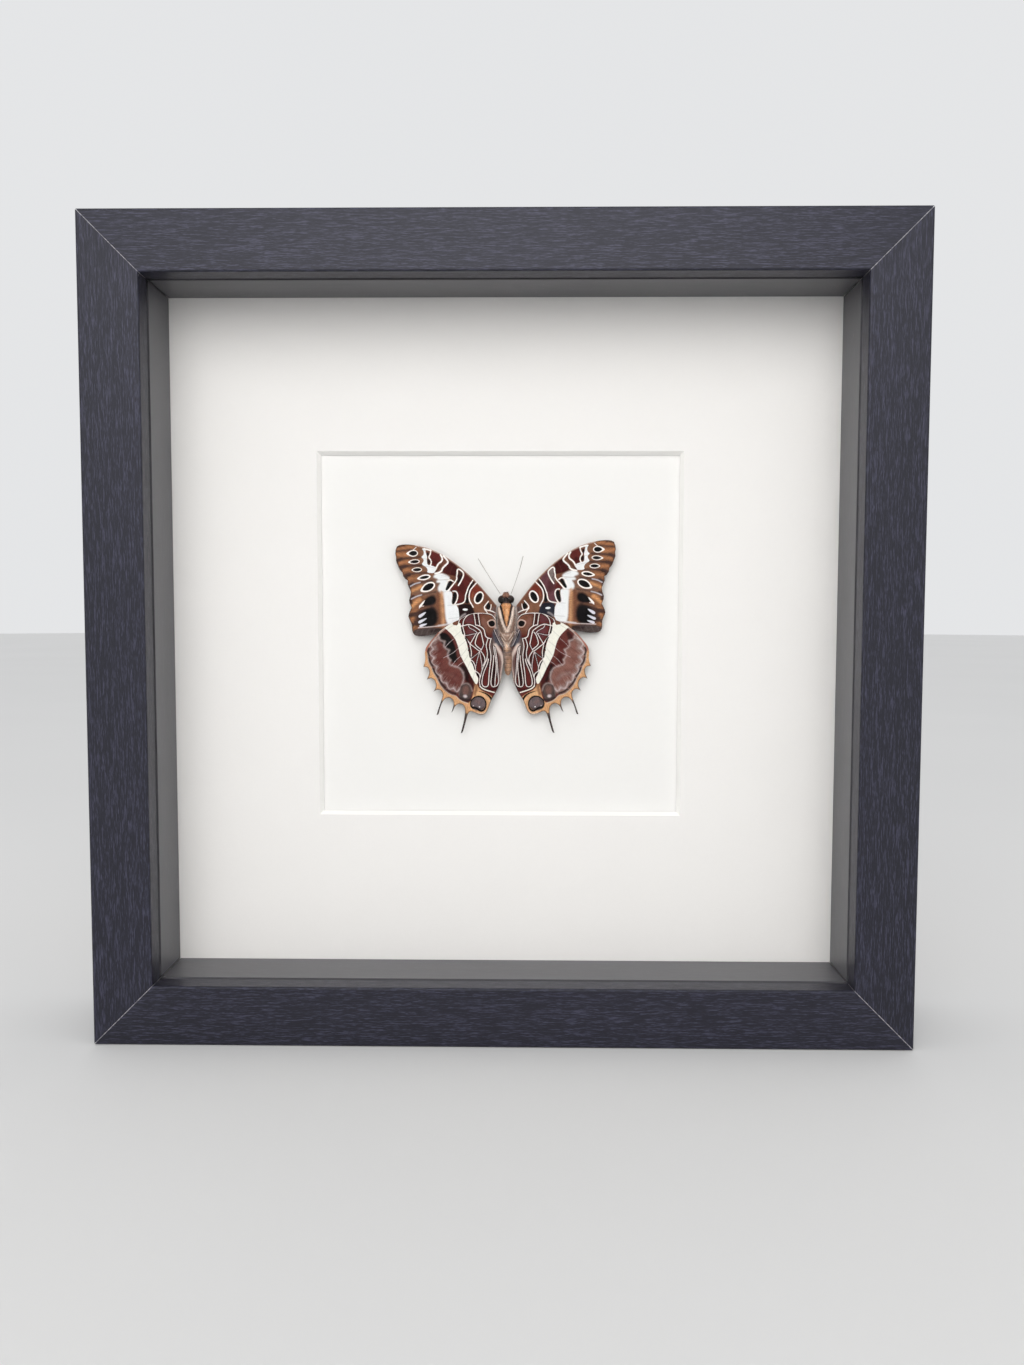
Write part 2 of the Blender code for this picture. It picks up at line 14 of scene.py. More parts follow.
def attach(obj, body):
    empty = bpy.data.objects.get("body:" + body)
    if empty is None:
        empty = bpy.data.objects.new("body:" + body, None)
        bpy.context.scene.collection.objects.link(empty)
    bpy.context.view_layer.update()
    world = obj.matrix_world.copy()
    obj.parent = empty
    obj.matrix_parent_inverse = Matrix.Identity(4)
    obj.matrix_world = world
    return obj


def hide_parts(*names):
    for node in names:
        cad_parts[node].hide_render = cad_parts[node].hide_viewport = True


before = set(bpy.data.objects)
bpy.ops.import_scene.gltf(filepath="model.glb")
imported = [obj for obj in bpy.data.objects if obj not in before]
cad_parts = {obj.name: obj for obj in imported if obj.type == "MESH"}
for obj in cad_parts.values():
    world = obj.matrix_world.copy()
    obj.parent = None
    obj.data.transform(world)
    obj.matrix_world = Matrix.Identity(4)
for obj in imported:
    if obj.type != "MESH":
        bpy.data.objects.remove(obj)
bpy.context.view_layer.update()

MM = 0.001

# Camera
CAMERA_PLACE = (0.0081, -0.3563, 0.1336)
CAMERA_TURN = (86.22, -0.098, 0.881)
LENS = 29.59

# Studio
FLOOR_RADIUS = 6.0
FLOOR_DROP = 0.0001
SKY_OVERHEAD = 0.80
SKY_BEHIND_OBJECT = 0.80
SKY_BEHIND_CAMERA = 0.78
KEY_PLACE = (-0.06, -1.10, 0.68)
KEY_SIZE = 1.1
KEY_POWER = 5.7
KEY_TARGET = (0.0, 0.0, 0.12)

# Frame, as the solids have it
FRAME_SIDE = 0.250
FACE_WIDTH = 0.0183
WALL = 0.010
LIP_DEPTH = 0.007
MITRE_GAP = 0.00026
MITRE_SINK = 0.00012
MITRE_BACK = 0.0448
MITRE_INSET = 0.3 * MM

# Specimen, as the solids have it
SPECIMEN_X = 0.001
SPECIMEN_Z = 0.125
FRAME_FRONT = -0.0225
THORAX_DEPTH = 0.0269
BODY_TILT = math.radians(-1.6)
BODY_MIDDLE = Vector((SPECIMEN_X, FRAME_FRONT + THORAX_DEPTH, SPECIMEN_Z))
BODY_PLACE = Matrix.Translation(BODY_MIDDLE) @ Matrix.Rotation(BODY_TILT, 4, "Y")
WING_ROOT = np.array((3.3, 8.5))

# Side, shift outwards and upwards in millimetres, and turn about the root in degrees
WING_SETTINGS = {
    "forewing_right": (1, 0.0, 0.0, 0.0),
    "forewing_left": (-1, 0.35, -0.1, 2.7),
    "hindwing_right": (1, 0.0, 0.0, 0.0),
    "hindwing_left": (-1, 0.4, 0.0, 1.1),
}
WING_CELL = 0.17
WING_THICKNESS = 0.28 * MM
WING_LEANNESS = 0.6
VEIN_RISE = 0.035
VEIN_WIDTH = 0.16
WING_SHEEN = 0.12
RIPPLE = 0.05
MERGE = 1e-6

# Farthest distance from an outline that is measured, in millimetres
REACH = 3.0


def tone(red, green, blue):
    """A linear colour from the 0 to 255 values of a screen."""
    def linear(level):
        level /= 255
        return level / 12.92 if level <= 0.04045 else ((level + 0.055) / 1.055) ** 2.4
    return (linear(red), linear(green), linear(blue), 1.0)


TONES = {name: np.array(tone(*levels)[:3]) for name, levels in {
    "brown": (112, 70, 52),
    "light_brown": (128, 86, 64),
    "russet": (112, 44, 30),
    "maroon": (88, 32, 28),
    "deep_maroon": (60, 14, 12),
    "mauve": (98, 58, 64),
    "black": (8, 5, 6),
    "umber": (30, 10, 9),
    "slate": (34, 34, 46),
    "grey": (128, 114, 110),
    "dim_grey": (92, 82, 82),
    "costa": (206, 184, 172),
    "outer": (130, 86, 60),
    "outer_grey": (124, 92, 76),
    "amber": (169, 114, 76),
    "bright_amber": (202, 144, 96),
    "fuzzy": (196, 146, 106),
    "streak": (66, 45, 40),
    "tornus": (72, 60, 58),
    "white": (240, 241, 242),
    "cream": (241, 239, 228),
    "line": (252, 247, 242),
    "lilac_line": (216, 202, 202),
    "lilac": (158, 138, 134),
    "dash": (222, 220, 230),
    "rose": (132, 92, 82),
    "hind_maroon": (96, 46, 41),
    "ochre": (208, 158, 114),
    "pale_ochre": (222, 182, 138),
    "costal_pink": (170, 110, 94),
    "crescent": (44, 34, 34),
    "network": (242, 230, 226),
    "base_ring": (196, 168, 156),
    "margin": (226, 206, 196),
    "tail": (74, 64, 62),
    "eye_violet": (104, 90, 92),
    "trunk": (166, 136, 120),
    "trunk_grey": (126, 110, 104),
    "beige": (232, 212, 198),
    "orange": (206, 142, 92),
    "bright_orange": (240, 190, 142),
    "seam": (30, 15, 11),
    "leg_dark": (74, 74, 84),
    "leg_edge": (188, 186, 190),
    "abdomen": (178, 136, 108),
    "abdomen_pale": (204, 164, 136),
    "head": (138, 98, 80),
    "root_hair": (218, 196, 186),
}.items()}


# Making of shapes

def piece(name, bm, materials, smooth=True):
    """Turn a bmesh into a piece that rides on the frame."""
    mesh = bpy.data.meshes.new(name)
    bm.to_mesh(mesh)
    bm.free()
    for material in materials:
        mesh.materials.append(material)
    if smooth:
        mesh.shade_smooth()
    thing = bpy.data.objects.new(name, mesh)
    bpy.context.scene.collection.objects.link(thing)
    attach(thing, "root")
    return thing


def box(bm, size, centre, turn):
    """A box turned about the view's own axis."""
    place = Matrix.Translation(centre) @ Matrix.Rotation(turn, 4, "Y")
    bmesh.ops.create_cube(bm, size=1.0, matrix=place @ Matrix.Diagonal((*size, 1.0)))


# Shader nodes

def feed(tree, socket, value):
    """Link a socket to another node's output, or set its value."""
    if isinstance(value, bpy.types.NodeSocket):
        tree.links.new(value, socket)
    else:
        socket.default_value = value


def node(tree, kind, inputs=None, **settings):
    made = tree.nodes.new(kind)
    for name, value in settings.items():
        setattr(made, name, value)
    for name, value in (inputs or {}).items():
        feed(tree, made.inputs[name], value)
    return made


def math_node(tree, operation, first, second=0.0):
    return node(tree, "ShaderNodeMath", {0: first, 1: second}, operation=operation).outputs[0]


def times(tree, first, second):
    return math_node(tree, "MULTIPLY", first, second)


def plus(tree, first, second):
    return math_node(tree, "ADD", first, second)


def colour_mix(tree, share, first, second, blend="MIX"):
    made = node(tree, "ShaderNodeMix", {0: share, 6: first, 7: second},
                data_type="RGBA", blend_type=blend)
    return made.outputs[2]


def grey(tree, level):
    return node(tree, "ShaderNodeCombineColor", {0: level, 1: level, 2: level}).outputs[0]


def shaded(tree, colour, level):
    """A colour made darker or lighter by a level."""
    return colour_mix(tree, 1.0, colour, grey(tree, level), "MULTIPLY")


def ranged(tree, value, low, high, to_low=0.0, to_high=1.0, smooth=True):
    kind = "SMOOTHSTEP" if smooth else "LINEAR"
    made = node(tree, "ShaderNodeMapRange", {
        "Value": value, "From Min": low, "From Max": high, "To Min": to_low, "To Max": to_high,
    }, interpolation_type=kind)
    return made.outputs["Result"]


def coordinates(tree):
    return tree.nodes.new("ShaderNodeTexCoord").outputs["Object"]


def stretched(tree, vector, scale):
    made = node(tree, "ShaderNodeMapping", {"Vector": vector, "Scale": scale})
    return made.outputs["Vector"]


def noise_value(tree, vector, scale, detail=2.0, roughness=0.5, distortion=0.0):
    made = node(tree, "ShaderNodeTexNoise", {
        "Vector": vector, "Scale": scale, "Detail": detail, "Roughness": roughness,
        "Distortion": distortion})
    return made.outputs["Fac"]


def bump(tree, height, strength, distance):
    made = node(tree, "ShaderNodeBump", {"Height": height, "Strength": strength, "Distance": distance})
    return made.outputs["Normal"]


def attribute(tree, name, output="Fac"):
    return node(tree, "ShaderNodeAttribute", attribute_name=name).outputs[output]


def new_material(name, roughness, metallic=0.0):
    material = bpy.data.materials.new(name)
    material.use_nodes = True
    shader = material.node_tree.nodes["Principled BSDF"]
    drive(material.node_tree, shader, Roughness=roughness, Metallic=metallic)
    return material, material.node_tree, shader


def drive(tree, shader, **sockets):
    """Feed the shader's sockets, whose names have underscores for spaces."""
    for name, value in sockets.items():
        feed(tree, shader.inputs[name.replace("_", " ")], value)


def new_group(name, inputs, outputs):
    """An empty node group with named sockets, and its input and output nodes."""
    group = bpy.data.node_groups.new(name, "ShaderNodeTree")
    for label, kind, value in inputs:
        socket = group.interface.new_socket(label, in_out="INPUT", socket_type="NodeSocket" + kind)
        if value is not None:
            socket.default_value = value
    for label, kind in outputs:
        group.interface.new_socket(label, in_out="OUTPUT", socket_type="NodeSocket" + kind)
    return group, group.nodes.new("NodeGroupInput").outputs, group.nodes.new("NodeGroupOutput").inputs


def place_group(tree, group, **inputs):
    return node(tree, "ShaderNodeGroup", inputs, node_tree=group).outputs


def make_grain_group():
    """Fine streaks that run along a bar, with slower drifts of shade."""
    group, given, out = new_group("fine_grain", [
        ("Coordinates", "Vector", None), ("Across", "Float", 3000.0), ("Sparseness", "Float", 0.55),
    ], [("Streak", "Float"), ("Drift", "Float"), ("Height", "Float")])
    fine = noise_value(group, given["Coordinates"], given["Across"], 3.0, 0.6)
    hair = noise_value(group, given["Coordinates"], times(group, given["Across"], 2.3), 2.0, 0.5, 0.3)
    both = plus(group, times(group, fine, 0.6), times(group, hair, 0.4))
    streak = ranged(group, both, given["Sparseness"], plus(group, given["Sparseness"], 0.16))
    drift = noise_value(group, given["Coordinates"], times(group, given["Across"], 0.03))
    group.links.new(streak, out["Streak"])
    group.links.new(drift, out["Drift"])
    group.links.new(both, out["Height"])
    return group


def make_paper_group():
    """Faint fibres and mottle of a card's face."""
    group, given, out = new_group("card_fibre", [
        ("Coordinates", "Vector", None), ("Scale", "Float", 1800.0), ("Amount", "Float", 0.05),
    ], [("Shade", "Float"), ("Height", "Float")])
    fibre = noise_value(group, given["Coordinates"], given["Scale"], 4.0, 0.65, 0.8)
    mottle = noise_value(group, given["Coordinates"], times(group, given["Scale"], 0.02))
    both = plus(group, times(group, fibre, 0.6), times(group, mottle, 0.4))
    spread = times(group, math_node(group, "SUBTRACT", both, 0.5), given["Amount"])
    group.links.new(plus(group, spread, 1.0), out["Shade"])
    group.links.new(fibre, out["Height"])
    return group


def make_scale_group():
    """The dust of tiny overlapping scales on a wing or body: each has a shade of its own."""
    group, given, out = new_group("scale_dust", [
        ("Coordinates", "Vector", None), ("Size", "Float", 9000.0), ("Contrast", "Float", 0.3),
    ], [("Shade", "Float"), ("Height", "Float"), ("Chance", "Float")])
    cells = node(group, "ShaderNodeTexVoronoi", {
        "Vector": given["Coordinates"], "Scale": given["Size"], "Randomness": 0.9})
    chance = node(group, "ShaderNodeSeparateColor", {"Color": cells.outputs["Color"]})
    spread = times(group, math_node(group, "SUBTRACT", chance.outputs[0], 0.5), given["Contrast"])
    group.links.new(plus(group, spread, 1.0), out["Shade"])
    group.links.new(ranged(group, cells.outputs["Distance"], 0.0, 0.6, 1.0, 0.0), out["Height"])
    group.links.new(chance.outputs[1], out["Chance"])
    return group


def make_mark_group():
    """A mark's cover from its distance in millimetres, with the ragged edge of single scales."""
    group, given, out = new_group("mark_cover", [
        ("Distance", "Float", 1.0), ("Raggedness", "Float", 0.0), ("Chance", "Float", 0.5),
        ("Softness", "Float", 0.06),
    ], [("Cover", "Float")])
    shift = times(group, math_node(group, "SUBTRACT", given["Chance"], 0.5), given["Raggedness"])
    share = math_node(group, "DIVIDE", plus(group, given["Distance"], shift), given["Softness"])
    group.links.new(ranged(group, share, -1.0, 1.0, 1.0, 0.0), out["Cover"])
    return group


GRAIN = make_grain_group()
CARD_FIBRE = make_paper_group()
SCALE_DUST = make_scale_group()
MARK_COVER = make_mark_group()


# Finishes of the frame

def rail_finish(name, stretch):
    """Satin charcoal paint with a violet cast over fine wood grain along the bar."""
    material, tree, shader = new_material(name, 0.42)
    along = stretched(tree, coordinates(tree), stretch)
    grain = place_group(tree, GRAIN, Coordinates=along, Across=3400.0, Sparseness=0.48)
    ground = colour_mix(tree, grain["Drift"], tone(13, 12, 21), tone(22, 21, 34))
    colour = colour_mix(tree, times(tree, grain["Streak"], 0.58), ground, tone(78, 77, 100))
    rough = ranged(tree, grain["Height"], 0.3, 0.7, 0.44, 0.30, smooth=False)
    drive(tree, shader, Base_Color=colour, Roughness=rough, Specular_Tint=(0.88, 0.89, 1.0, 1.0),
          Normal=bump(tree, grain["Height"], 0.5, 0.0001))
    return material


def spacer_finish(name, stretch):
    """Smoother dark lining strip with only a breath of grain."""
    material, tree, shader = new_material(name, 0.36)
    along = stretched(tree, coordinates(tree), stretch)
    grain = place_group(tree, GRAIN, Coordinates=along, Across=2200.0, Sparseness=0.56)
    ground = colour_mix(tree, grain["Drift"], tone(82, 81, 85), tone(94, 93, 98))
    colour = colour_mix(tree, times(tree, grain["Streak"], 0.18), ground, tone(112, 111, 115))
    rough = ranged(tree, grain["Height"], 0.3, 0.7, 0.42, 0.34, smooth=False)
    drive(tree, shader, Base_Color=colour, Roughness=rough,
          Normal=bump(tree, grain["Height"], 0.12, 0.0001))
    return material


def card_finish(name, face, cut, fibre_amount):
    """Matt card whose sloping or square cut edges show a whiter core."""
    material, tree, shader = new_material(name, 0.85)
    card = place_group(tree, CARD_FIBRE, Coordinates=coordinates(tree), Amount=fibre_amount)
    normal = node(tree, "ShaderNodeSeparateXYZ", {
        "Vector": tree.nodes.new("ShaderNodeNewGeometry").outputs["True Normal"]})
    facing = math_node(tree, "ABSOLUTE", normal.outputs["Y"])
    edge = ranged(tree, facing, 0.85, 0.98, 1.0, 0.0)
    ground = colour_mix(tree, edge, face, cut)
    drive(tree, shader, Base_Color=shaded(tree, ground, card["Shade"]),
          Normal=bump(tree, card["Height"], 0.10, 0.00005))
    return material


def pane_finish():
    """Clear pane. Lamps' shadow rays pass straight through it."""
    material, tree, shader = new_material("clear_pane", 0.0)
    shader.inputs["Base Color"].default_value = (1.0, 1.0, 1.0, 1.0)
    shader.inputs["Transmission Weight"].default_value = 1.0
    shader.inputs["IOR"].default_value = 1.49
    shader.inputs["Specular Tint"].default_value = (0.0, 0.0, 0.0, 1.0)
    clear = node(tree, "ShaderNodeBsdfTransparent", {"Color": (0.97, 0.975, 0.975, 1.0)})
    path = tree.nodes.new("ShaderNodeLightPath")
    blend = node(tree, "ShaderNodeMixShader", {
        0: path.outputs["Is Shadow Ray"], 1: shader.outputs[0], 2: clear.outputs[0]})
    tree.links.new(blend.outputs[0], tree.nodes["Material Output"].inputs["Surface"])
    return material


def fibreboard_finish():
    """Brown pressed fibreboard with pale and dark flecks."""
    material, tree, shader = new_material("fibreboard", 0.7)
    place = coordinates(tree)
    fibre = noise_value(tree, stretched(tree, place, (1.0, 1.0, 0.45)), 900.0, 5.0, 0.7, 1.5)
    fleck = noise_value(tree, place, 2600.0, 2.0, 0.5)
    slow = noise_value(tree, place, 25.0, 3.0, 0.5)
    ground = colour_mix(tree, slow, tone(118, 84, 56), tone(142, 104, 72))
    ground = colour_mix(tree, ranged(tree, fibre, 0.35, 0.7), ground, tone(164, 126, 90))
    colour = colour_mix(tree, ranged(tree, fleck, 0.62, 0.72), ground, tone(84, 56, 38))
    drive(tree, shader, Base_Color=colour, Normal=bump(tree, fibre, 0.25, 0.0001),
          Roughness=ranged(tree, fibre, 0.3, 0.7, 0.62, 0.8, smooth=False))
    return material


def steel_finish():
    """Zinc-bright steel with fine rolling marks and dull smudges."""
    material, tree, shader = new_material("bright_steel", 0.3, 1.0)
    place = coordinates(tree)
    grain = place_group(tree, GRAIN, Coordinates=stretched(tree, place, (0.06, 1.0, 1.0)),
                        Across=6000.0, Sparseness=0.5)
    smudge = noise_value(tree, place, 160.0, 3.0, 0.6)
    colour = colour_mix(tree, smudge, tone(176, 176, 180), tone(204, 203, 202))
    rough = plus(tree, ranged(tree, smudge, 0.3, 0.7, 0.22, 0.42, smooth=False),
                 times(tree, grain["Streak"], 0.08))
    drive(tree, shader, Base_Color=colour, Roughness=rough,
          Normal=bump(tree, grain["Height"], 0.08, 0.00003))
    return material


def foam_finish():
    """Pale foam with fine cells."""
    material, tree, shader = new_material("pad_foam", 0.9)
    cells = place_group(tree, SCALE_DUST, Coordinates=coordinates(tree), Size=3500.0, Contrast=0.12)
    drive(tree, shader, Base_Color=shaded(tree, tone(228, 226, 220), cells["Shade"]),
          Normal=bump(tree, cells["Height"], 0.3, 0.0001))
    return material


def mitre_finish():
    """Bare pale filler that shows as a hair line where two rails meet."""
    material, tree, shader = new_material("mitre_filler", 0.7)
    fleck = noise_value(tree, coordinates(tree), 900.0, 3.0, 0.6)
    colour = colour_mix(tree, ranged(tree, fleck, 0.35, 0.65), tone(132, 130, 138), tone(206, 203, 208))
    drive(tree, shader, Base_Color=colour)
    return material


def refinish(names, material):
    """Give some of the frame's solids one finish."""
    for name in names:
        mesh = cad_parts[name].data
        mesh.materials.clear()
        mesh.materials.append(material)


def finish_frame():
    for names, stretch in ((("rail_top", "rail_bottom"), (0.07, 1.0, 1.0)),
                           (("rail_left", "rail_right"), (1.0, 1.0, 0.07))):
        run = "level" if names[0] == "rail_top" else "upright"
        refinish(names, rail_finish("rail_paint_" + run, stretch))
        spacers = [name.replace("rail", "spacer") for name in names]
        refinish(spacers, spacer_finish("lining_" + run, stretch))
    refinish(["glazing_pane"], pane_finish())
    refinish(["mat_board"], card_finish("mat_card", tone(243, 241, 239), tone(250, 249, 246), 0.05))
    refinish(["mount_board"], card_finish("mount_card", tone(243, 242, 240), tone(240, 238, 232), 0.03))
    refinish(["backboard"], fibreboard_finish())
    steel = steel_finish()
    refinish([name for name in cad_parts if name.startswith(("tab_", "hanger_"))], steel)
    refinish(["specimen_pad"], foam_finish())


def build_mitres():
    """Hair lines of filler in the four mitres, on the face and down the opening's corners."""
    bm = bmesh.new()
    middle = Vector((0, 0, FRAME_SIDE / 2))
    for quarter in range(4):
        turn = math.radians(45 + 90 * quarter)
        out = Vector((math.cos(turn), 0, math.sin(turn)))
        for inset, near, far in ((FACE_WIDTH, MITRE_SINK, LIP_DEPTH), (WALL, LIP_DEPTH, MITRE_BACK)):
            length = inset * math.sqrt(2) - 4 * MITRE_INSET
            reach = (FRAME_SIDE - inset) * math.sqrt(2) / 2 - MITRE_INSET
            centre = middle + out * reach
            centre.y = FRAME_FRONT + (near + far) / 2
            box(bm, (length, far - near, MITRE_GAP), centre, -turn)
    filler = piece("mitre_lines", bm, [mitre_finish()], smooth=False)


# Painting by given outlines

def rounded(points, closed, rounds=2):
    """Cut a given outline's corners round."""
    points = np.array(points, float)
    for _ in range(rounds):
        before = points if closed else points[:-1]
        after = np.roll(points, -1, axis=0) if closed else points[1:]
        cut = np.stack([before * 0.75 + after * 0.25, before * 0.25 + after * 0.75], axis=1)
        cut = cut.reshape(-1, 2)
        points = cut if closed else np.vstack([points[:1], cut, points[-1:]])
    return points


def route_distance(places, route):
    """Each place's distance to a route of straight runs, up to a reach."""
    best = np.full(len(places), REACH)
    low, high = route.min(axis=0) - REACH, route.max(axis=0) + REACH
    near = np.flatnonzero(((places >= low) & (places <= high)).all(axis=1))
    close = places[near]
    found = np.full(len(close), REACH)
    for start, end in zip(route, route[1:]):
        run = end - start
        span = run @ run
        if span == 0:
            continue
        share = np.clip((close - start) @ run / span, 0, 1)
        gap = close - start - share[:, None] * run
        found = np.minimum(found, np.sqrt((gap * gap).sum(axis=1)))
    best[near] = found
    return best


def area_distance(places, outline):
    """Signed distance to a closed outline, negative inside."""
    closed = np.vstack([outline, outline[:1]])
    inside = np.zeros(len(places), bool)
    x, z = places[:, 0], places[:, 1]
    for (x0, z0), (x1, z1) in zip(closed, closed[1:]):
        if z0 == z1:
            continue
        crosses = (z0 > z) != (z1 > z)
        inside ^= crosses & (x < (x1 - x0) * (z - z0) / (z1 - z0) + x0)
    distance = route_distance(places, closed)
    return np.where(inside, -distance, distance)


def oval(centre, half, tilt, tip=0.0, count=20):
    """An oval's outline, whose outer end may be drawn out to a tip."""
    turn = math.radians(tilt)
    outline = []
    for k in range(count):
        angle = 2 * math.pi * k / count
        x = half[0] * math.cos(angle)
        z = half[1] * math.sin(angle)
        if x > 0:
            x += tip * (x / half[0]) ** 2
            z *= 1 - 0.35 * (x / (half[0] + tip)) ** 2 if tip else 1
        outline.append((centre[0] + x * math.cos(turn) - z * math.sin(turn),
                        centre[1] + x * math.sin(turn) + z * math.cos(turn)))
    return np.array(outline)


FORE_MARGIN_START = 28.0
HIND_MARGIN_START = -8.5


class Painting:
    """Colours laid on a set of places, from soft washes up to crisp dark and pale marks."""

    def __init__(self, places, ground):
        self.places = places
        self.ground = np.tile(TONES[ground], (len(places), 1))
        self.marks = {}
        for layer in ("dark", "pale"):
            self.marks[layer] = (np.full(len(places), REACH), self.ground * 0)

    def lay(self, colour, share):
        """Cover the ground by a share of a tone."""
        self.ground = self.ground * (1 - share[:, None]) + TONES[colour] * share[:, None]

    def soften(self, colour, softness, distance, strength):
        """Lay a tone with a soft edge where the distance is nought."""
        share = np.clip(0.5 - distance / softness, 0, 1)
        self.lay(colour, share * share * (3 - 2 * share) * strength)

    def wash(self, colour, softness, points, strength=1.0):
        """A soft-edged patch."""
        self.soften(colour, softness, area_distance(self.places, rounded(points, True)), strength)

    def brush(self, colour, softness, width, points, strength=1.0):
        """A soft-edged line of some width."""
        route = rounded(points, False)
        self.soften(colour, softness, route_distance(self.places, route) - width / 2, strength)

    def outline(self, colour, edge, fore):
        """A thin dark line along the outer margin, but not along the front or inner margins."""
        out, up = self.places.T
        outer = np.clip((out - FORE_MARGIN_START) / 1.5 if fore else HIND_MARGIN_START - up, 0, 1)
        self.lay(colour, np.clip(1 - (edge - 0.10) / 0.25, 0, 1) * outer * 0.9)

    def mark(self, layer, colour, distance):
        """A crisp mark where the distance is below nought."""
        edge, tint = self.marks[layer]
        nearer = distance < edge
        edge[nearer] = distance[nearer]
        tint[nearer] = TONES[colour]

    def clear(self, layer, distance):
        """Take a layer's marks away where the distance is below nought."""
        edge = self.marks[layer][0]
        edge[:] = np.maximum(edge, -distance)

    def line(self, layer, colour, width, points):
        self.mark(layer, colour, route_distance(self.places, rounded(points, False)) - width / 2)

    def area(self, layer, colour, points, rounds=2):
        self.mark(layer, colour, area_distance(self.places, rounded(points, True, rounds)))

    def ring(self, colour, inner, outer):
        """A pale ring between two outlines round a black middle."""
        hole = area_distance(self.places, inner)
        self.mark("dark", "black", hole)
        self.mark("pale", colour, np.maximum(area_distance(self.places, outer), -hole))


# Forewing's underside

FOREWING_VEINS = [
    [(3.3, 9), (9.6, 16.9), (15.6, 22.6), (20.6, 26.1), (26, 28.7), (31, 29.6)],
    [(3.4, 8.7), (9, 14.6), (13.4, 18.6), (17.5, 21.7), (22, 24.6), (27.5, 26.2), (34.6, 25.7)],
    [(13.4, 18.6), (17, 20.4), (21.5, 22.4), (26.5, 23.5), (33.9, 23.3)],
    [(15.6, 18.4), (19.5, 19.9), (25, 21.2), (32.6, 20.5)],
    [(15.4, 16.9), (19, 18.5), (24.5, 18.6), (31.1, 17.5)],
    [(12.9, 12.6), (15.2, 14.7), (19.5, 14.8), (25, 14.6), (30.9, 13.2)],
    [(9.4, 10), (13, 10.6), (17.5, 10.4), (23.5, 10), (30.6, 9)],
    [(3.5, 7.6), (9, 7.3), (15.5, 6.2), (22, 6), (31.2, 6.3)],
    [(3.6, 6.4), (10, 5.2), (17, 4.5), (20, 4), (27, 3.65), (30.4, 3.3)],
    [(13.4, 18.6), (15.4, 16.9), (15.2, 14.7), (12.9, 12.6)],
]

# Eyed spots of the outer third: centre, half sizes, tilt, and the pale ring's half sizes and tip
FOREWING_EYES = [
    ((28.95, 27.5), (1.25, 0.8), 0, (1.54, 1.08), 0.7),
    ((28.65, 24.8), (1.4, 0.52), -2, (1.68, 0.76), 0.45),
    ((28, 22.2), (1.38, 0.54), 0, (1.68, 0.78), 0.1),
    ((25.75, 19.65), (1.55, 0.5), -8, (2.05, 0.88), 0.35),
    ((24.65, 16.5), (1.95, 1), -25, (2.4, 1.42), 0.45),
]


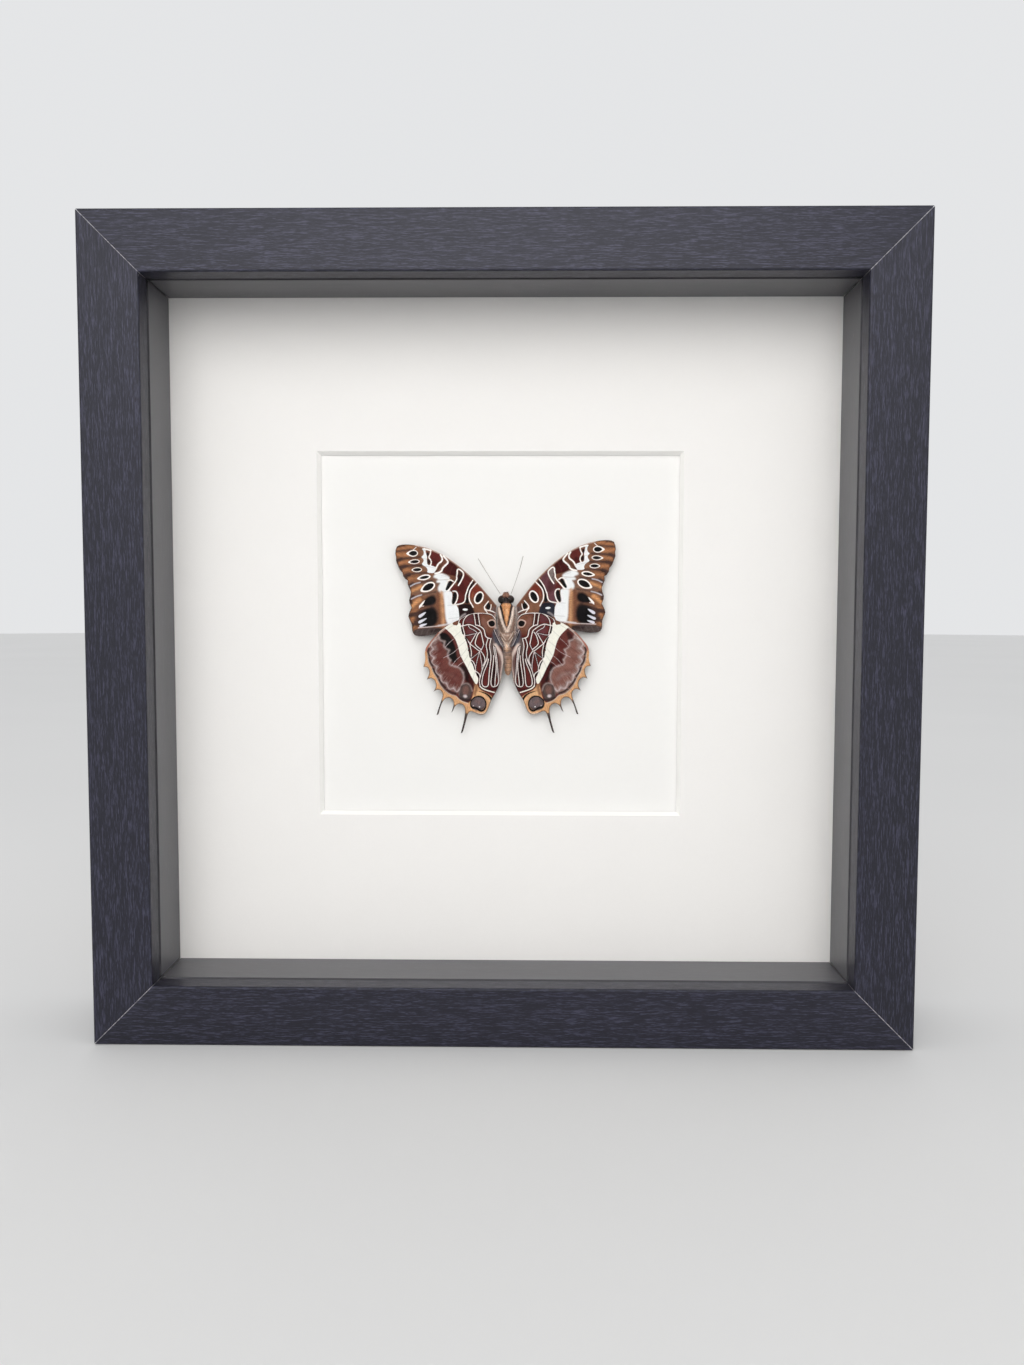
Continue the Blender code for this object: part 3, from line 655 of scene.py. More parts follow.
def paint_forewing_ground(paint, left):
    """Brown root, dark cell patches, the pale band's halo and the grey-brown outer third."""
    wash, brush = paint.wash, paint.brush
    wash("russet", 1.4, [(6, 13.4), (9.6, 17.4), (11.7, 14.6), (11, 11.6), (8, 13.6)])
    wash("light_brown", 1.6, [(6.2, 7.2), (7, 10.2), (9.8, 10.6), (10.8, 9.6), (10.2, 7.2)])
    brush("amber", 0.7, 0.2, [(10.3, 14.1), (10.5, 13.4), (10.6, 12.7)], 0.5)
    wash("dim_grey", 1.2, [(3, 5), (3, 9.4), (4.4, 9.2), (5, 7.4), (4.4, 5.4)], 0.7)
    inner = "maroon" if left else "mauve"
    wash(inner, 0.5, [(10.2, 17.9), (12.6, 20.4), (15.4, 22.6), (15.2, 18), (16, 14.8), (16.4, 10.4),
        (13, 10.5), (12.6, 13.6), (11.8, 15.8)])
    wash("deep_maroon", 1.2, [(13.2, 18.4), (14.8, 16.6), (15.8, 15.2), (13.4, 13.4), (12.8, 15)], 0.55)
    wash("umber", 0.3, [(9.6, 17.4), (10.4, 17.7), (12.4, 14.6), (12.4, 12.8), (11.7, 13.2), (11.4, 14.9),
        (10.3, 16.2)])
    wash("maroon", 0.35, [(15.3, 15.7), (16.1, 17.3), (17, 16.5), (18.3, 15), (16.4, 14.7), (15.2, 15)])
    wash("deep_maroon", 0.5, [(14.9, 22.6), (17.2, 24.5), (18.1, 24), (19.4, 22.7), (20.3, 21.3),
        (18.4, 20.2), (16.2, 19.7), (15.3, 19.3), (15, 20.8)])
    brush("maroon", 0.5, 0.3, [(16, 23.4), (17.2, 21.6), (17.4, 20.4)], 0.6)
    brush("maroon", 0.6, 0.3, [(17.8, 23.4), (18.9, 22), (19.2, 21)], 0.5)
    wash("brown", 0.35, [(15.5, 19.3), (17, 19.8), (18.9, 20.1), (18.3, 19.3), (18.7, 18.5), (16.6, 17.9),
        (15.7, 18.3)])
    wash("umber" if left else "grey", 0.3, [(14.8, 17.1), (13.8, 18.6), (13.4, 20.1), (14.2, 21.3),
        (14.8, 21), (14.8, 19.6), (15, 18.6), (15.5, 17.5)])
    brush("umber" if left else "grey", 0.8, 0.5, [(14.1, 20.9), (14.2, 20), (14.4, 19.2)], 0.7)
    if left:
        brush("brown", 0.7, 0.4, [(14.2, 20.9), (14.2, 20)], 0.5)
    brush("umber", 0.8, 0.4, [(14.5, 18.5), (15, 17.4)], 0.6)
    wash("maroon", 0.4, [(20.2, 26.6), (21.6, 27.3), (23.1, 27.9), (23.6, 25.9), (23.1, 24.8), (23.2, 23.3),
        (22.1, 22.7), (21.4, 23.5), (20.3, 24.7)])
    wash("deep_maroon", 1.4, [(21.8, 23.2), (20.9, 24.6), (22.4, 25.4), (23.2, 24)], 0.8)
    wash("brown", 0.3, [(18.9, 25.8), (19.7, 25), (20.7, 24), (21.3, 22.8), (22.5, 21), (21.5, 20.9),
        (20.5, 21.4), (20.2, 22.6), (19.1, 23.5), (18.2, 24.3)])
    brush("maroon", 0.5, 0.3, [(18.9, 25.4), (19.2, 24.6), (19.8, 24)], 0.8)
    brush("umber", 0.5, 0.3, [(19.8, 23.6), (20.7, 22.7), (21.4, 21.7), (22.2, 21)], 0.85)
    brush("grey", 0.4, 0.15, [(20.4, 22.2), (20.9, 21.5), (21.6, 21.1)], 0.5)
    wash("outer", 0.4, [(25, 31.5), (36.5, 31.5), (36.5, -1), (19.4, -1), (19.4, 14.7), (21.3, 15.2),
        (21.2, 16.4), (20, 17.3), (20.2, 18.3), (22, 18.6), (21, 19.2), (20.3, 19.9), (20.7, 20.5),
        (24.6, 21), (24.3, 22.1), (26, 23.4), (25.5, 24.9), (26, 26.1), (25.3, 27.7), (26, 29.2)])
    wash("outer_grey", 2.2, [(20.8, 20.3), (23.8, 20.6), (26, 18.4), (31, 15), (27, 13.6), (21, 14.4),
        (20.8, 17.4)], 0.75)
    brush("outer_grey", 1.2, 0.8, [(26.4, 28.8), (26, 26.2), (26.2, 24), (25.2, 22.2)], 0.7)
    wash("white", 0.8, [(17.4, 19.2), (18.2, 18.2), (18.6, 16), (17.4, 14.6), (17.3, 11), (17, 4.4),
        (19.6, 4), (19.75, 13.6), (21.4, 15), (21.6, 16.2), (20.8, 17.4), (22.2, 18), (21.2, 18.9),
        (23.2, 19.6), (21.6, 20.9), (19.4, 20.5)])
    brush("outer_grey", 0.35, 0.14, [(18.2, 18.7), (20, 18.55), (23.6, 18.7)], 0.75)
    brush("outer_grey", 0.45, 0.5, [(21, 17.5), (22.4, 17.3), (24, 17.4)], 0.8)
    brush("grey", 0.3, 0.1, [(17.4, 14.75), (19.5, 14.75), (22.4, 14.8)], 0.5)


def paint_forewing_margin(paint, left):
    """Amber bars and dark streaks between the outer veins, the lower corner and the front edge."""
    wash, brush = paint.wash, paint.brush
    for stops, colour, width, strength in (
        ([(29, 29.7), (32.5, 29.4), (34.2, 29.2)], "amber", 0.9, 0.8),
        ([(30.5, 27), (32.5, 27.2), (34.4, 27.4)], "amber", 1, 0.9),
        ([(30.6, 24.9), (32.2, 24.8), (33.6, 24.6)], "amber", 0.8, 0.9),
        ([(30.4, 22.2), (31.8, 22.2), (32.6, 22.2)], "amber", 0.8, 0.9),
        ([(28, 19.6), (29.6, 19.4), (31, 19.3)], "amber", 0.8, 0.8),
        ([(26.8, 16.8), (28.6, 16), (30.3, 15.4)], "bright_amber", 0.9, 1),
        ([(27.6, 12.6), (29, 11.7), (30.2, 10.6)], "bright_amber", 1.2, 1),
        ([(27.8, 9.4), (29.4, 8.9), (30.8, 8.5)], "amber", 0.5, 0.6),
        ([(26.9, 26.6), (27, 28), (28.2, 29.2)], "outer", 1, 0.6),
    ):
        brush(colour, 0.9, width, stops, strength)
    for stops, width, strength in (
        ([(29.5, 28.7), (32.5, 28.5), (34.6, 28.3)], 0.45, 0.85),
        ([(27, 26.2), (31, 26), (34.7, 25.6)], 0.65, 0.95),
        ([(31.8, 30), (33.8, 29.9), (35.2, 28.6)], 0.5, 0.85),
        ([(32.8, 25.9), (34.3, 25.2), (34.4, 24.2)], 1, 0.95),
        ([(26.5, 23.5), (30.5, 23.6), (33.4, 23.4)], 0.7, 0.95),
        ([(31.8, 23.4), (33.2, 23.2), (33, 22.5)], 1, 0.95),
        ([(24.4, 21.1), (29, 21.1), (31.6, 20.7)], 0.65, 0.9),
        ([(30.6, 20.8), (32.2, 20.3), (31.6, 19.7)], 1.1, 0.95),
        ([(23.4, 18.5), (26, 18.3), (30.5, 17.3)], 0.6, 0.9),
        ([(29.6, 17.9), (30.8, 17.2), (30.6, 16.3)], 1, 0.95),
        ([(22.4, 14.8), (26, 14.3), (30.4, 13.2)], 0.55, 0.85),
        ([(29.6, 13.8), (30.7, 12.8), (30.4, 11.7)], 1, 0.95),
        ([(28.4, 8), (30, 7.9), (31.2, 7.8)], 1.3, 0.95),
        ([(28, 5.4), (29.2, 5.2), (30.6, 4.8)], 1.7, 0.95),
    ):
        brush("streak", 0.7, width, stops, strength)
    brush("black", 0.6, 0.4, [(30.2, 20.6), (31.6, 20.2)], 0.6)
    brush("black", 0.6, 0.4, [(29.8, 17.4), (30.7, 16.9)], 0.6)
    for stops in ([(27.2, 18.1), (28.8, 17.8), (30.4, 17)], [(26.9, 14.1), (28.6, 13.7), (30.3, 12.9)]):
        brush("dash", 0.45, 0.26, stops, 0.9)
    wash("outer_grey", 1, [(20.6, 14.6), (26.4, 14.2), (26, 13.6), (21, 13.8)], 0.5)
    brush("fuzzy", 1.4, 0.9, [(20.4, 14.6), (20.35, 10), (20.3, 4)])
    brush("brown", 0.9, 0.7, [(21.7, 14.2), (21.9, 10), (21.7, 3.9)], 0.95)
    wash("streak", 1.2, [(22.2, 13.9), (22.4, 10.4), (26.8, 10), (25.6, 13), (24, 13.9)])
    wash("streak", 1.4, [(22, 10.4), (21.9, 3.7), (29.4, 3.5), (29.2, 9), (26, 10.6)], 0.97)
    brush("light_brown", 0.8, 0.5, [(24.6, 10.1), (26.4, 9.8), (28.4, 9.2)], 0.7)
    wash("black", 1.3, [(22.3, 9.9), (22.1, 3.8), (27.9, 3.6), (28.2, 7.4), (26, 9.7)])
    wash("black", 0.9, [(22.2, 12.4), (23, 13.6), (24.4, 13.6), (26.4, 12.2), (27, 10.8), (24.6, 10.4),
        (22.8, 11)], 0.9)
    brush("amber", 0.8, 0.6, [(30.1, 6.7), (30.6, 6.2), (30.2, 5.6)])
    brush("amber", 0.7, 0.4, [(29.6, 4.1), (30.1, 3.5)], 0.9)
    brush("white", 0.5, 0.4, [(16, 4.9), (20, 4.2), (22, 3.95)], 0.8)
    wash("tornus", 0.5, [(20.4, 2.3), (22, 3.5), (27, 3.4), (29.8, 3.1), (31, 1.4), (28, 0), (21, 0.6)])
    brush("umber", 1, 0.9, [(21.2, 2.7), (22.6, 2.6), (24.2, 2.3)], 0.8)
    for k in range(4):
        brush("grey", 0.5, 0.15, [(23.4 + k * 1.8, 2.9), (24.2 + k * 1.8, 1.4)], 0.35)
    wash("umber" if left else "slate", 0.4, [(11.3, 10.4), (13.2, 10.6), (15.4, 10.4), (15.3, 8),
        (15.2, 5.6), (12.8, 6.4), (10, 6.8), (10.4, 8.8)])
    wash("black", 1.4, [(10.8, 9.8), (11.2, 7.6), (12.4, 9.6), (14.6, 10.2), (12.6, 10.6)], 0.55)
    brush("lilac_line", 0.9, 0.3, [(13.2, 7.3), (14.1, 6.9), (14.8, 6.2)], 0.6)
    brush("costa", 0.4, 0.85, [(2.6, 9.7), (5, 12.8), (8.1, 16.7), (11.4, 20.3), (15.4, 23.9), (19.8, 27.1),
        (24.5, 29.3), (28, 30.2)], 0.95)


def paint_forewing_marks(paint):
    """The white band, the pale loops round the dark spots, and the eyed spots."""
    line, area = paint.line, paint.area
    area("pale", "white", [(15.35, 10.35), (17.2, 10.3), (17.5, 11.4), (17.1, 12.8), (17, 14.2),
        (17.4, 14.8), (18.7, 14.7), (18.8, 12), (18.7, 4.2), (15, 4.6)], 1)
    area("pale", "white", [(18.4, 14.75), (19.4, 15.2), (19.2, 16.4), (18.5, 17.8), (18.2, 18.4),
        (19.2, 18.3), (19.7, 17.6), (20.2, 16.8), (20.7, 15.9), (20.3, 15.1), (19.4, 14.7)])
    area("pale", "white", [(18, 19.3), (19, 19.8), (20.1, 20.3), (20.9, 20.5), (20.2, 19.9), (20.6, 19.3),
        (20.9, 18.95), (20, 18.9), (18.9, 18.9)], 1)
    area("pale", "white", [(24.9, 28.8), (26.2, 29), (25.45, 27.8), (25.7, 26.8), (26.5, 26.1),
        (25.7, 25.5), (25.75, 24.7), (26.5, 23.85), (25.1, 23), (24.5, 22), (24.9, 21.1), (22.6, 20.8),
        (22.2, 21.4), (21.5, 22.4), (22.3, 22.95), (23.4, 23.35), (24.6, 23.6), (24.7, 25.1), (24.5, 26.2),
        (24.9, 27.4)], 1)
    for width, points in (
        (0.36, [(23.3, 28.3), (23.4, 27), (24.1, 26), (23.5, 25.3), (23.2, 24.4), (23.6, 23.4)]),
        (0.45, [(23.2, 28.1), (24.1, 28.4), (25.4, 28.8)]),
        (0.5, [(20.2, 26.6), (19.6, 25.4), (19.9, 24.5), (20.9, 23.9), (21.5, 23.1), (21.9, 22.2)]),
        (0.54, [(19.3, 26.2), (18.2, 24.9), (17.8, 24), (18.9, 23.1), (19.8, 22.3), (20, 21.5),
            (20.9, 20.95), (22.2, 20.7)]),
        (0.42, [(14.9, 16.6), (14.2, 17.6), (13.4, 19), (13, 20.2), (13.5, 21), (14.6, 21.9), (15.1, 21.5),
            (15.1, 20.5), (15.4, 19.4), (15.3, 18.7), (15.8, 17.9), (16.2, 17.4), (17.3, 16.2),
            (18.2, 15.1), (18.8, 14.7)]),
        (0.36, [(10.2, 18), (11, 17), (11.9, 15.6), (12.4, 14.2), (12.8, 13.3), (12.9, 12.2), (13.3, 11.1),
            (14.4, 10.6), (16.6, 10.4)]),
        (0.36, [(9.1, 17.1), (10.3, 15.9), (11.2, 14.9), (11.6, 13.6), (11.7, 12.4), (11.5, 11.2),
            (11, 10.4), (10.5, 9.4)]),
        (0.36, [(16.8, 14.8), (15.9, 14.8), (15.35, 14.1), (15.3, 13), (15.7, 11.7), (16.3, 10.7),
            (16.8, 10.3), (17.5, 10.6)]),
        (0.32, [(5.5, 11.1), (6.4, 10.1), (7.1, 9.2), (6.4, 8.3), (5.4, 8.1), (4.4, 7.8), (3.3, 7.1)]),
        (0.26, [(4.7, 10), (4.8, 9.1), (5.2, 8.2)]),
        (0.28, [(7, 8.7), (6.3, 7.8), (5.8, 6.9)]),
        (0.36, [(16.5, 17.9), (17.3, 18.5), (18.2, 18.3), (18.9, 17.2), (19.5, 15.9)]),
    ):
        line("pale", "line", width, points)
    for tone_name, points in (
        ("umber", [(24.15, 27.8), (24.6, 27.5), (24.75, 26.7), (24.5, 26.1), (24.1, 26.5), (23.9, 27.2)]),
        ("umber", [(24, 25.4), (24.5, 25.4), (24.6, 24.3), (24.2, 23.8), (23.6, 24), (23.5, 24.7)]),
        ("black", [(16.7, 17.6), (17.3, 18.2), (18, 17.8), (18.7, 16.6), (19.2, 15.5), (18.9, 15),
            (18.2, 15.4), (17.5, 16.6)]),
        ("black", [(15.7, 14.2), (16.2, 14.6), (16.8, 14.1), (16.9, 12.8), (17.3, 11.4), (17.1, 10.7),
            (16.6, 10.7), (16, 11.9), (15.7, 13)]),
        ("black", [(12.2, 13.4), (12.6, 13.1), (12.7, 12), (13.1, 10.9), (12.4, 10.6), (11.8, 10.6),
            (11.9, 11.8)]),
        ("black", [(5.5, 10.8), (6.2, 10.2), (6.5, 9.3), (6.1, 8.5), (5.2, 8.3), (4.9, 9.2), (5.1, 10.2)]),
        ("black", [(22.6, 12.3), (23.1, 13.2), (24.1, 13.4), (25.2, 12.8), (26.2, 11.7), (26.8, 10.9),
            (25.8, 10.7), (24.2, 10.8), (23.1, 11.3)]),
    ):
        area("dark", tone_name, points)
    for centre, half, tilt, ring_half, tip in FOREWING_EYES:
        paint.ring("line", oval(centre, half, tilt, tip * 0.25), oval(centre, ring_half, tilt, tip))
    paint.ring("line", oval((8.55, 12.35), (1.72, 0.98), 118), oval((8.55, 12.35), (2.15, 1.45), 118))
    line("pale", "line", 0.22, [(27.9, 29.4), (28.7, 28.7), (29.3, 28.3)])
    area("pale", "line", dash_shape((25.7, 12.6), (27.7, 10.3), 0.75))
    line("pale", "lilac_line", 0.24, [(26.4, 10.5), (27.2, 10.4), (27.9, 9.9)])
    for start, end, width in (
        ((25.5, 8.7), (28, 7.1), 1),
        ((25.3, 6.7), (28.2, 5.3), 0.95),
        ((25.3, 4.9), (27.9, 4.1), 0.85),
    ):
        area("pale", "dash", dash_shape(start, end, width))
    area("pale", "white", oval((13.1, 8.75), (0.85, 0.36), 4), 0)
    line("pale", "lilac_line", 0.3, [(17, 4.5), (20, 4), (24, 3.75), (28.5, 3.6)])


def dash_shape(start, end, width):
    """A drop that is thin at its start and full at its end."""
    start, end = np.array(start), np.array(end)
    run = end - start
    across = np.array((-run[1], run[0])) / np.hypot(*run) * width / 2
    return [start, start + run * 0.5 + across * 0.8, end + across, end + run * 0.1, end - across,
            start + run * 0.5 - across * 0.8]


# The pale band as the upper side shows it, on forewing and hindwing

FORE_BAND = [
    (15.2, 4.6), (15.3, 10.3), (17.2, 11), (17.4, 14.8), (18.8, 15.2), (18, 18.2), (18.2, 19.6), (21, 20.8),
    (23.4, 21.6), (26, 21.4), (21.6, 18.8), (21.2, 15.4), (20, 13.4), (20, 4.2),
]
HIND_BAND = [
    (14.75, 4.6), (13.7, 0.1), (12.5, -3.4), (11.95, -7.2), (10.4, -10.8), (9.2, -13.8), (10.2, -15.6),
    (11.8, -12.6), (14, -8.1), (15.5, -3.6), (17.2, 0.2), (20.2, 3),
]

# Hindwing's underside

# The two chains of pale crescents outside the pale band, as arcs that share their ends, and the
# dark crescents against the ochre margin
LUNULE_INNER = [
    (21.8, 0.4), (21.6, -1.2), (19.9, -1.8), (20.2, -3.6), (18.5, -4.6), (19.2, -6.4), (18.2, -7.8),
    (18.6, -9.2), (16.6, -9.8), (15, -10.4), (14.2, -11.8), (13.8, -13.6), (14.6, -16),
]
LUNULE_OUTER = [
    (22.6, -0.9), (24.6, -2.4), (23.6, -4.1), (25, -5.5), (23.4, -6.9), (24.5, -8.5), (22.6, -9.8),
    (23.2, -11.7), (21.4, -12.8), (21.3, -14.7), (19.6, -15.2), (18.8, -17.3), (17.3, -16.8), (16.3, -18.2),
    (15.4, -17.2),
]
DARK_CRESCENTS = [
    [(25, -3.9), (25.4, -5), (24.9, -6.2)],
    [(25, -7), (24.6, -8.4), (23.8, -9.5)],
    [(23.7, -10.4), (23.2, -11.8), (22.2, -13.1)],
    [(21.9, -14), (21.1, -15.4), (19.9, -16.7)],
    [(19.4, -17.3), (18.1, -18.2), (16.7, -18.6)],
]

COMB_LINES = 56

# The network of pale lines, in millimetres: what its dark edges add to a line's width, the width below
# which a line is greyer, each pale line's share of its given width, and the width of the dark gaps
NETWORK_EDGE = 0.38
NETWORK_FINE = 0.27
NETWORK_SHARE = 0.86
GAP_WIDTH = 0.42

HINDWING_VEINS = [
    [(3.4, 6.2), (9, 6.6), (14, 5), (18.5, 2.6), (22.5, -0.8), (25.8, -5.2)],
    [(8.6, 3.4), (13.4, 2.6), (17.5, -1), (20, -3.2), (23, -5.4), (26.1, -8.2)],
    [(10.4, 0.6), (14.6, -2.9), (18.4, -5.9), (21.6, -7.2), (26.8, -9.8)],
    [(11.8, -3), (14.6, -6.6), (17.6, -9.4), (21.5, -11.6), (25.8, -13.8)],
    [(11.4, -4.6), (13.8, -8.4), (16.2, -10.6), (19.6, -14.2), (23.7, -17.7)],
    [(8.5, -5), (11.6, -7.7), (13.4, -12.4), (15.6, -16.2), (19.4, -19.6), (22.9, -25.3)],
    [(7.9, -4.6), (9.9, -10), (11.4, -15.4), (14.2, -19.6), (18, -24.5)],
    [(5.4, -1.2), (6.6, -7.6), (8.9, -13.6), (10.4, -18.4), (12.6, -24.6), (15.1, -31.4)],
    [(3.6, -2.6), (2.9, -8), (3.4, -15), (5.6, -21)],
]


def paint_hindwing_ground(paint, left):
    """Brown root, grey and dark folds by the body, and the maroon outer field."""
    wash, brush = paint.wash, paint.brush
    wash("brown", 2, [(3.2, 7.2), (8.6, 7.3), (8.4, 3), (6.6, 0.6), (4.6, 0.4), (3, 2.4)], 0.95)
    wash("rose", 1.2, [(6.4, 5.6), (8, 6), (7.8, 3.4), (6.6, 1.4), (5.8, 2.4)], 0.55)
    brush("margin", 1.4, 0.9, [(3, 7), (3.4, 5.4), (3.2, 3), (3, 1)], 0.6)
    wash("leg_dark", 1, [(2.8, 2.3), (4.2, 1.8), (4.5, 0.2), (4.2, -1.6), (3.6, -3.2), (1.6, -3.8),
        (1.4, 0)], 0.95)
    wash("umber", 0.5, [(8.9, 7), (8.7, 5.1), (8.6, 3.6), (9.7, 3.6), (9.9, 5.2), (10.2, 7)], 0.7)
    wash("mauve", 1.2, [(10.6, 6.8), (12.6, 6.2), (13.6, 4.4), (10.4, 3.9)], 0.6)
    wash("mauve", 1.2, [(12, 3), (13, 1.2), (11.6, -1.4), (9.6, -0.4), (9.4, 1.4)], 0.5)
    brush("root_hair", 1.6, 0.5, [(2.6, 6.4), (3.4, 4.6), (3.2, 2.4)], 0.6)
    wash("grey", 0.8, [(4.5, -0.6), (5.4, -1.6), (5.6, -4), (5.2, -6.6), (4.6, -7.4), (3.6, -5.2),
        (3.6, -2.4)], 0.65)
    brush("umber", 0.7, 0.35, [(5.3, -2.2), (5.9, -4.4), (5.7, -6.6)], 0.8)
    brush("umber", 0.7, 0.3, [(4.4, -1.4), (4.7, -4.2), (4.3, -6.4)], 0.8)
    brush("margin", 1, 1.1, [(3.6, -3.2), (2.2, -5.2), (1.2, -7.6), (1.2, -10.2), (1.6, -13), (2.2, -15.6)],
        0.95)
    brush("grey", 0.6, 0.25, [(2.5, -6.6), (2.3, -9), (2.4, -12), (2.6, -14.4)], 0.75)
    wash("umber", 0.35, [(3.7, -6.9), (4.1, -8.2), (4.9, -13), (5, -15.8), (4.2, -16.3), (3.6, -11.6)], 0.9)
    wash("umber", 0.35, [(5.2, -4.4), (5.9, -3.6), (5.9, -6.4), (5.6, -8.6), (6.4, -10.2), (5.7, -10.4),
        (5, -8.4)], 0.7)
    wash("umber", 0.35, [(7.5, -6.6), (8, -6.1), (7.8, -8.6), (7.5, -9), (7.2, -8)], 0.8)
    wash("deep_maroon", 0.4, [(5.2, -8.4), (5.7, -11.4), (5.9, -15.6), (5.4, -16), (4.9, -11)], 0.9)
    wash("deep_maroon", 0.5, [(2.3, -15.2), (3.1, -17.2), (4.2, -18.1), (6, -17.8), (8, -17.4), (8.9, -16),
        (9, -14.6), (8.4, -16.2), (6.4, -17), (3.8, -16.9)])
    wash("hind_maroon", 0.4, [(19.6, 2.6), (17.4, 0.3), (16.3, -1.4), (15.6, -3.6), (15, -6.2),
        (13.8, -8.6), (12.7, -11), (11.7, -13), (10.7, -14.8), (10.5, -16.4), (11.4, -19.6), (16, -20.4),
        (21, -16.6), (24.8, -9), (25.4, -4), (22.4, 0.4)])
    wash("rose", 0.9, LUNULE_INNER + [(16.4, -19.2), (18.5, -18.8), (20.4, -17.2), (21.9, -15.4),
        (23.7, -12), (25.2, -8.8), (25.6, -5), (23.4, -1.2)], 0.2 if left else 0.95)
    for points in (
        [(20.6, -3.6), (22.4, -3.4), (22.6, -5.2), (20.8, -5.6)],
        [(20.4, -6.8), (22.2, -6.6), (22.6, -8.6), (20.6, -9.6)],
        [(18, -10.6), (20.6, -10.6), (20.6, -13), (18.4, -13.4)],
        [(15.4, -12), (17.4, -12.2), (18.2, -15), (16, -15.6)],
    ):
        wash("hind_maroon", 1.8, points, 0.8 if left else 0.4)
    wash("deep_maroon", 0.9, [(12.9, -9.4), (14.2, -9.1), (16, -9.7), (14.7, -11.1), (14, -12.6),
        (14.1, -14.2), (12.6, -15), (11.5, -17), (10.7, -17), (10.5, -15), (11.6, -12.4)], 0.95)
    brush("black", 0.8, 0.9, [(14.2, -9.5), (14.3, -11.4), (13.4, -13), (12.6, -14.6)], 0.75)
    if left:
        wash("black", 0.7, [(22, 0.3), (20.6, 1.3), (19, 0.9), (17.6, -0.9), (16.5, -3), (16.3, -5),
            (15.7, -7.6), (16.4, -8.8), (18.2, -8.2), (18.9, -5.8), (19.9, -3.2), (21.4, -1.5)])
        wash("umber", 0.8, [(13.4, -9.2), (15.2, -10.2), (14.4, -12.6), (12.6, -14.4), (12, -12.6)])
    else:
        wash("umber", 0.9, [(18.9, 1.4), (20.2, 1), (21.2, -0.4), (20.9, -2), (19.9, -2.2), (19.4, -0.6)],
            0.75)
        wash("deep_maroon", 1.1, [(16.4, -5.2), (18, -6), (18.2, -8.6), (17, -9.4), (15.4, -8.4)], 0.85)
        wash("maroon", 1.2, [(16.6, -1.6), (18.4, -2.4), (18.9, -4.4), (16.6, -4.4)], 0.7)
    brush("rose", 0.5, 0.4, [(14.9, -2.9), (15.3, -4.6), (14.8, -6.6)], 0.3)


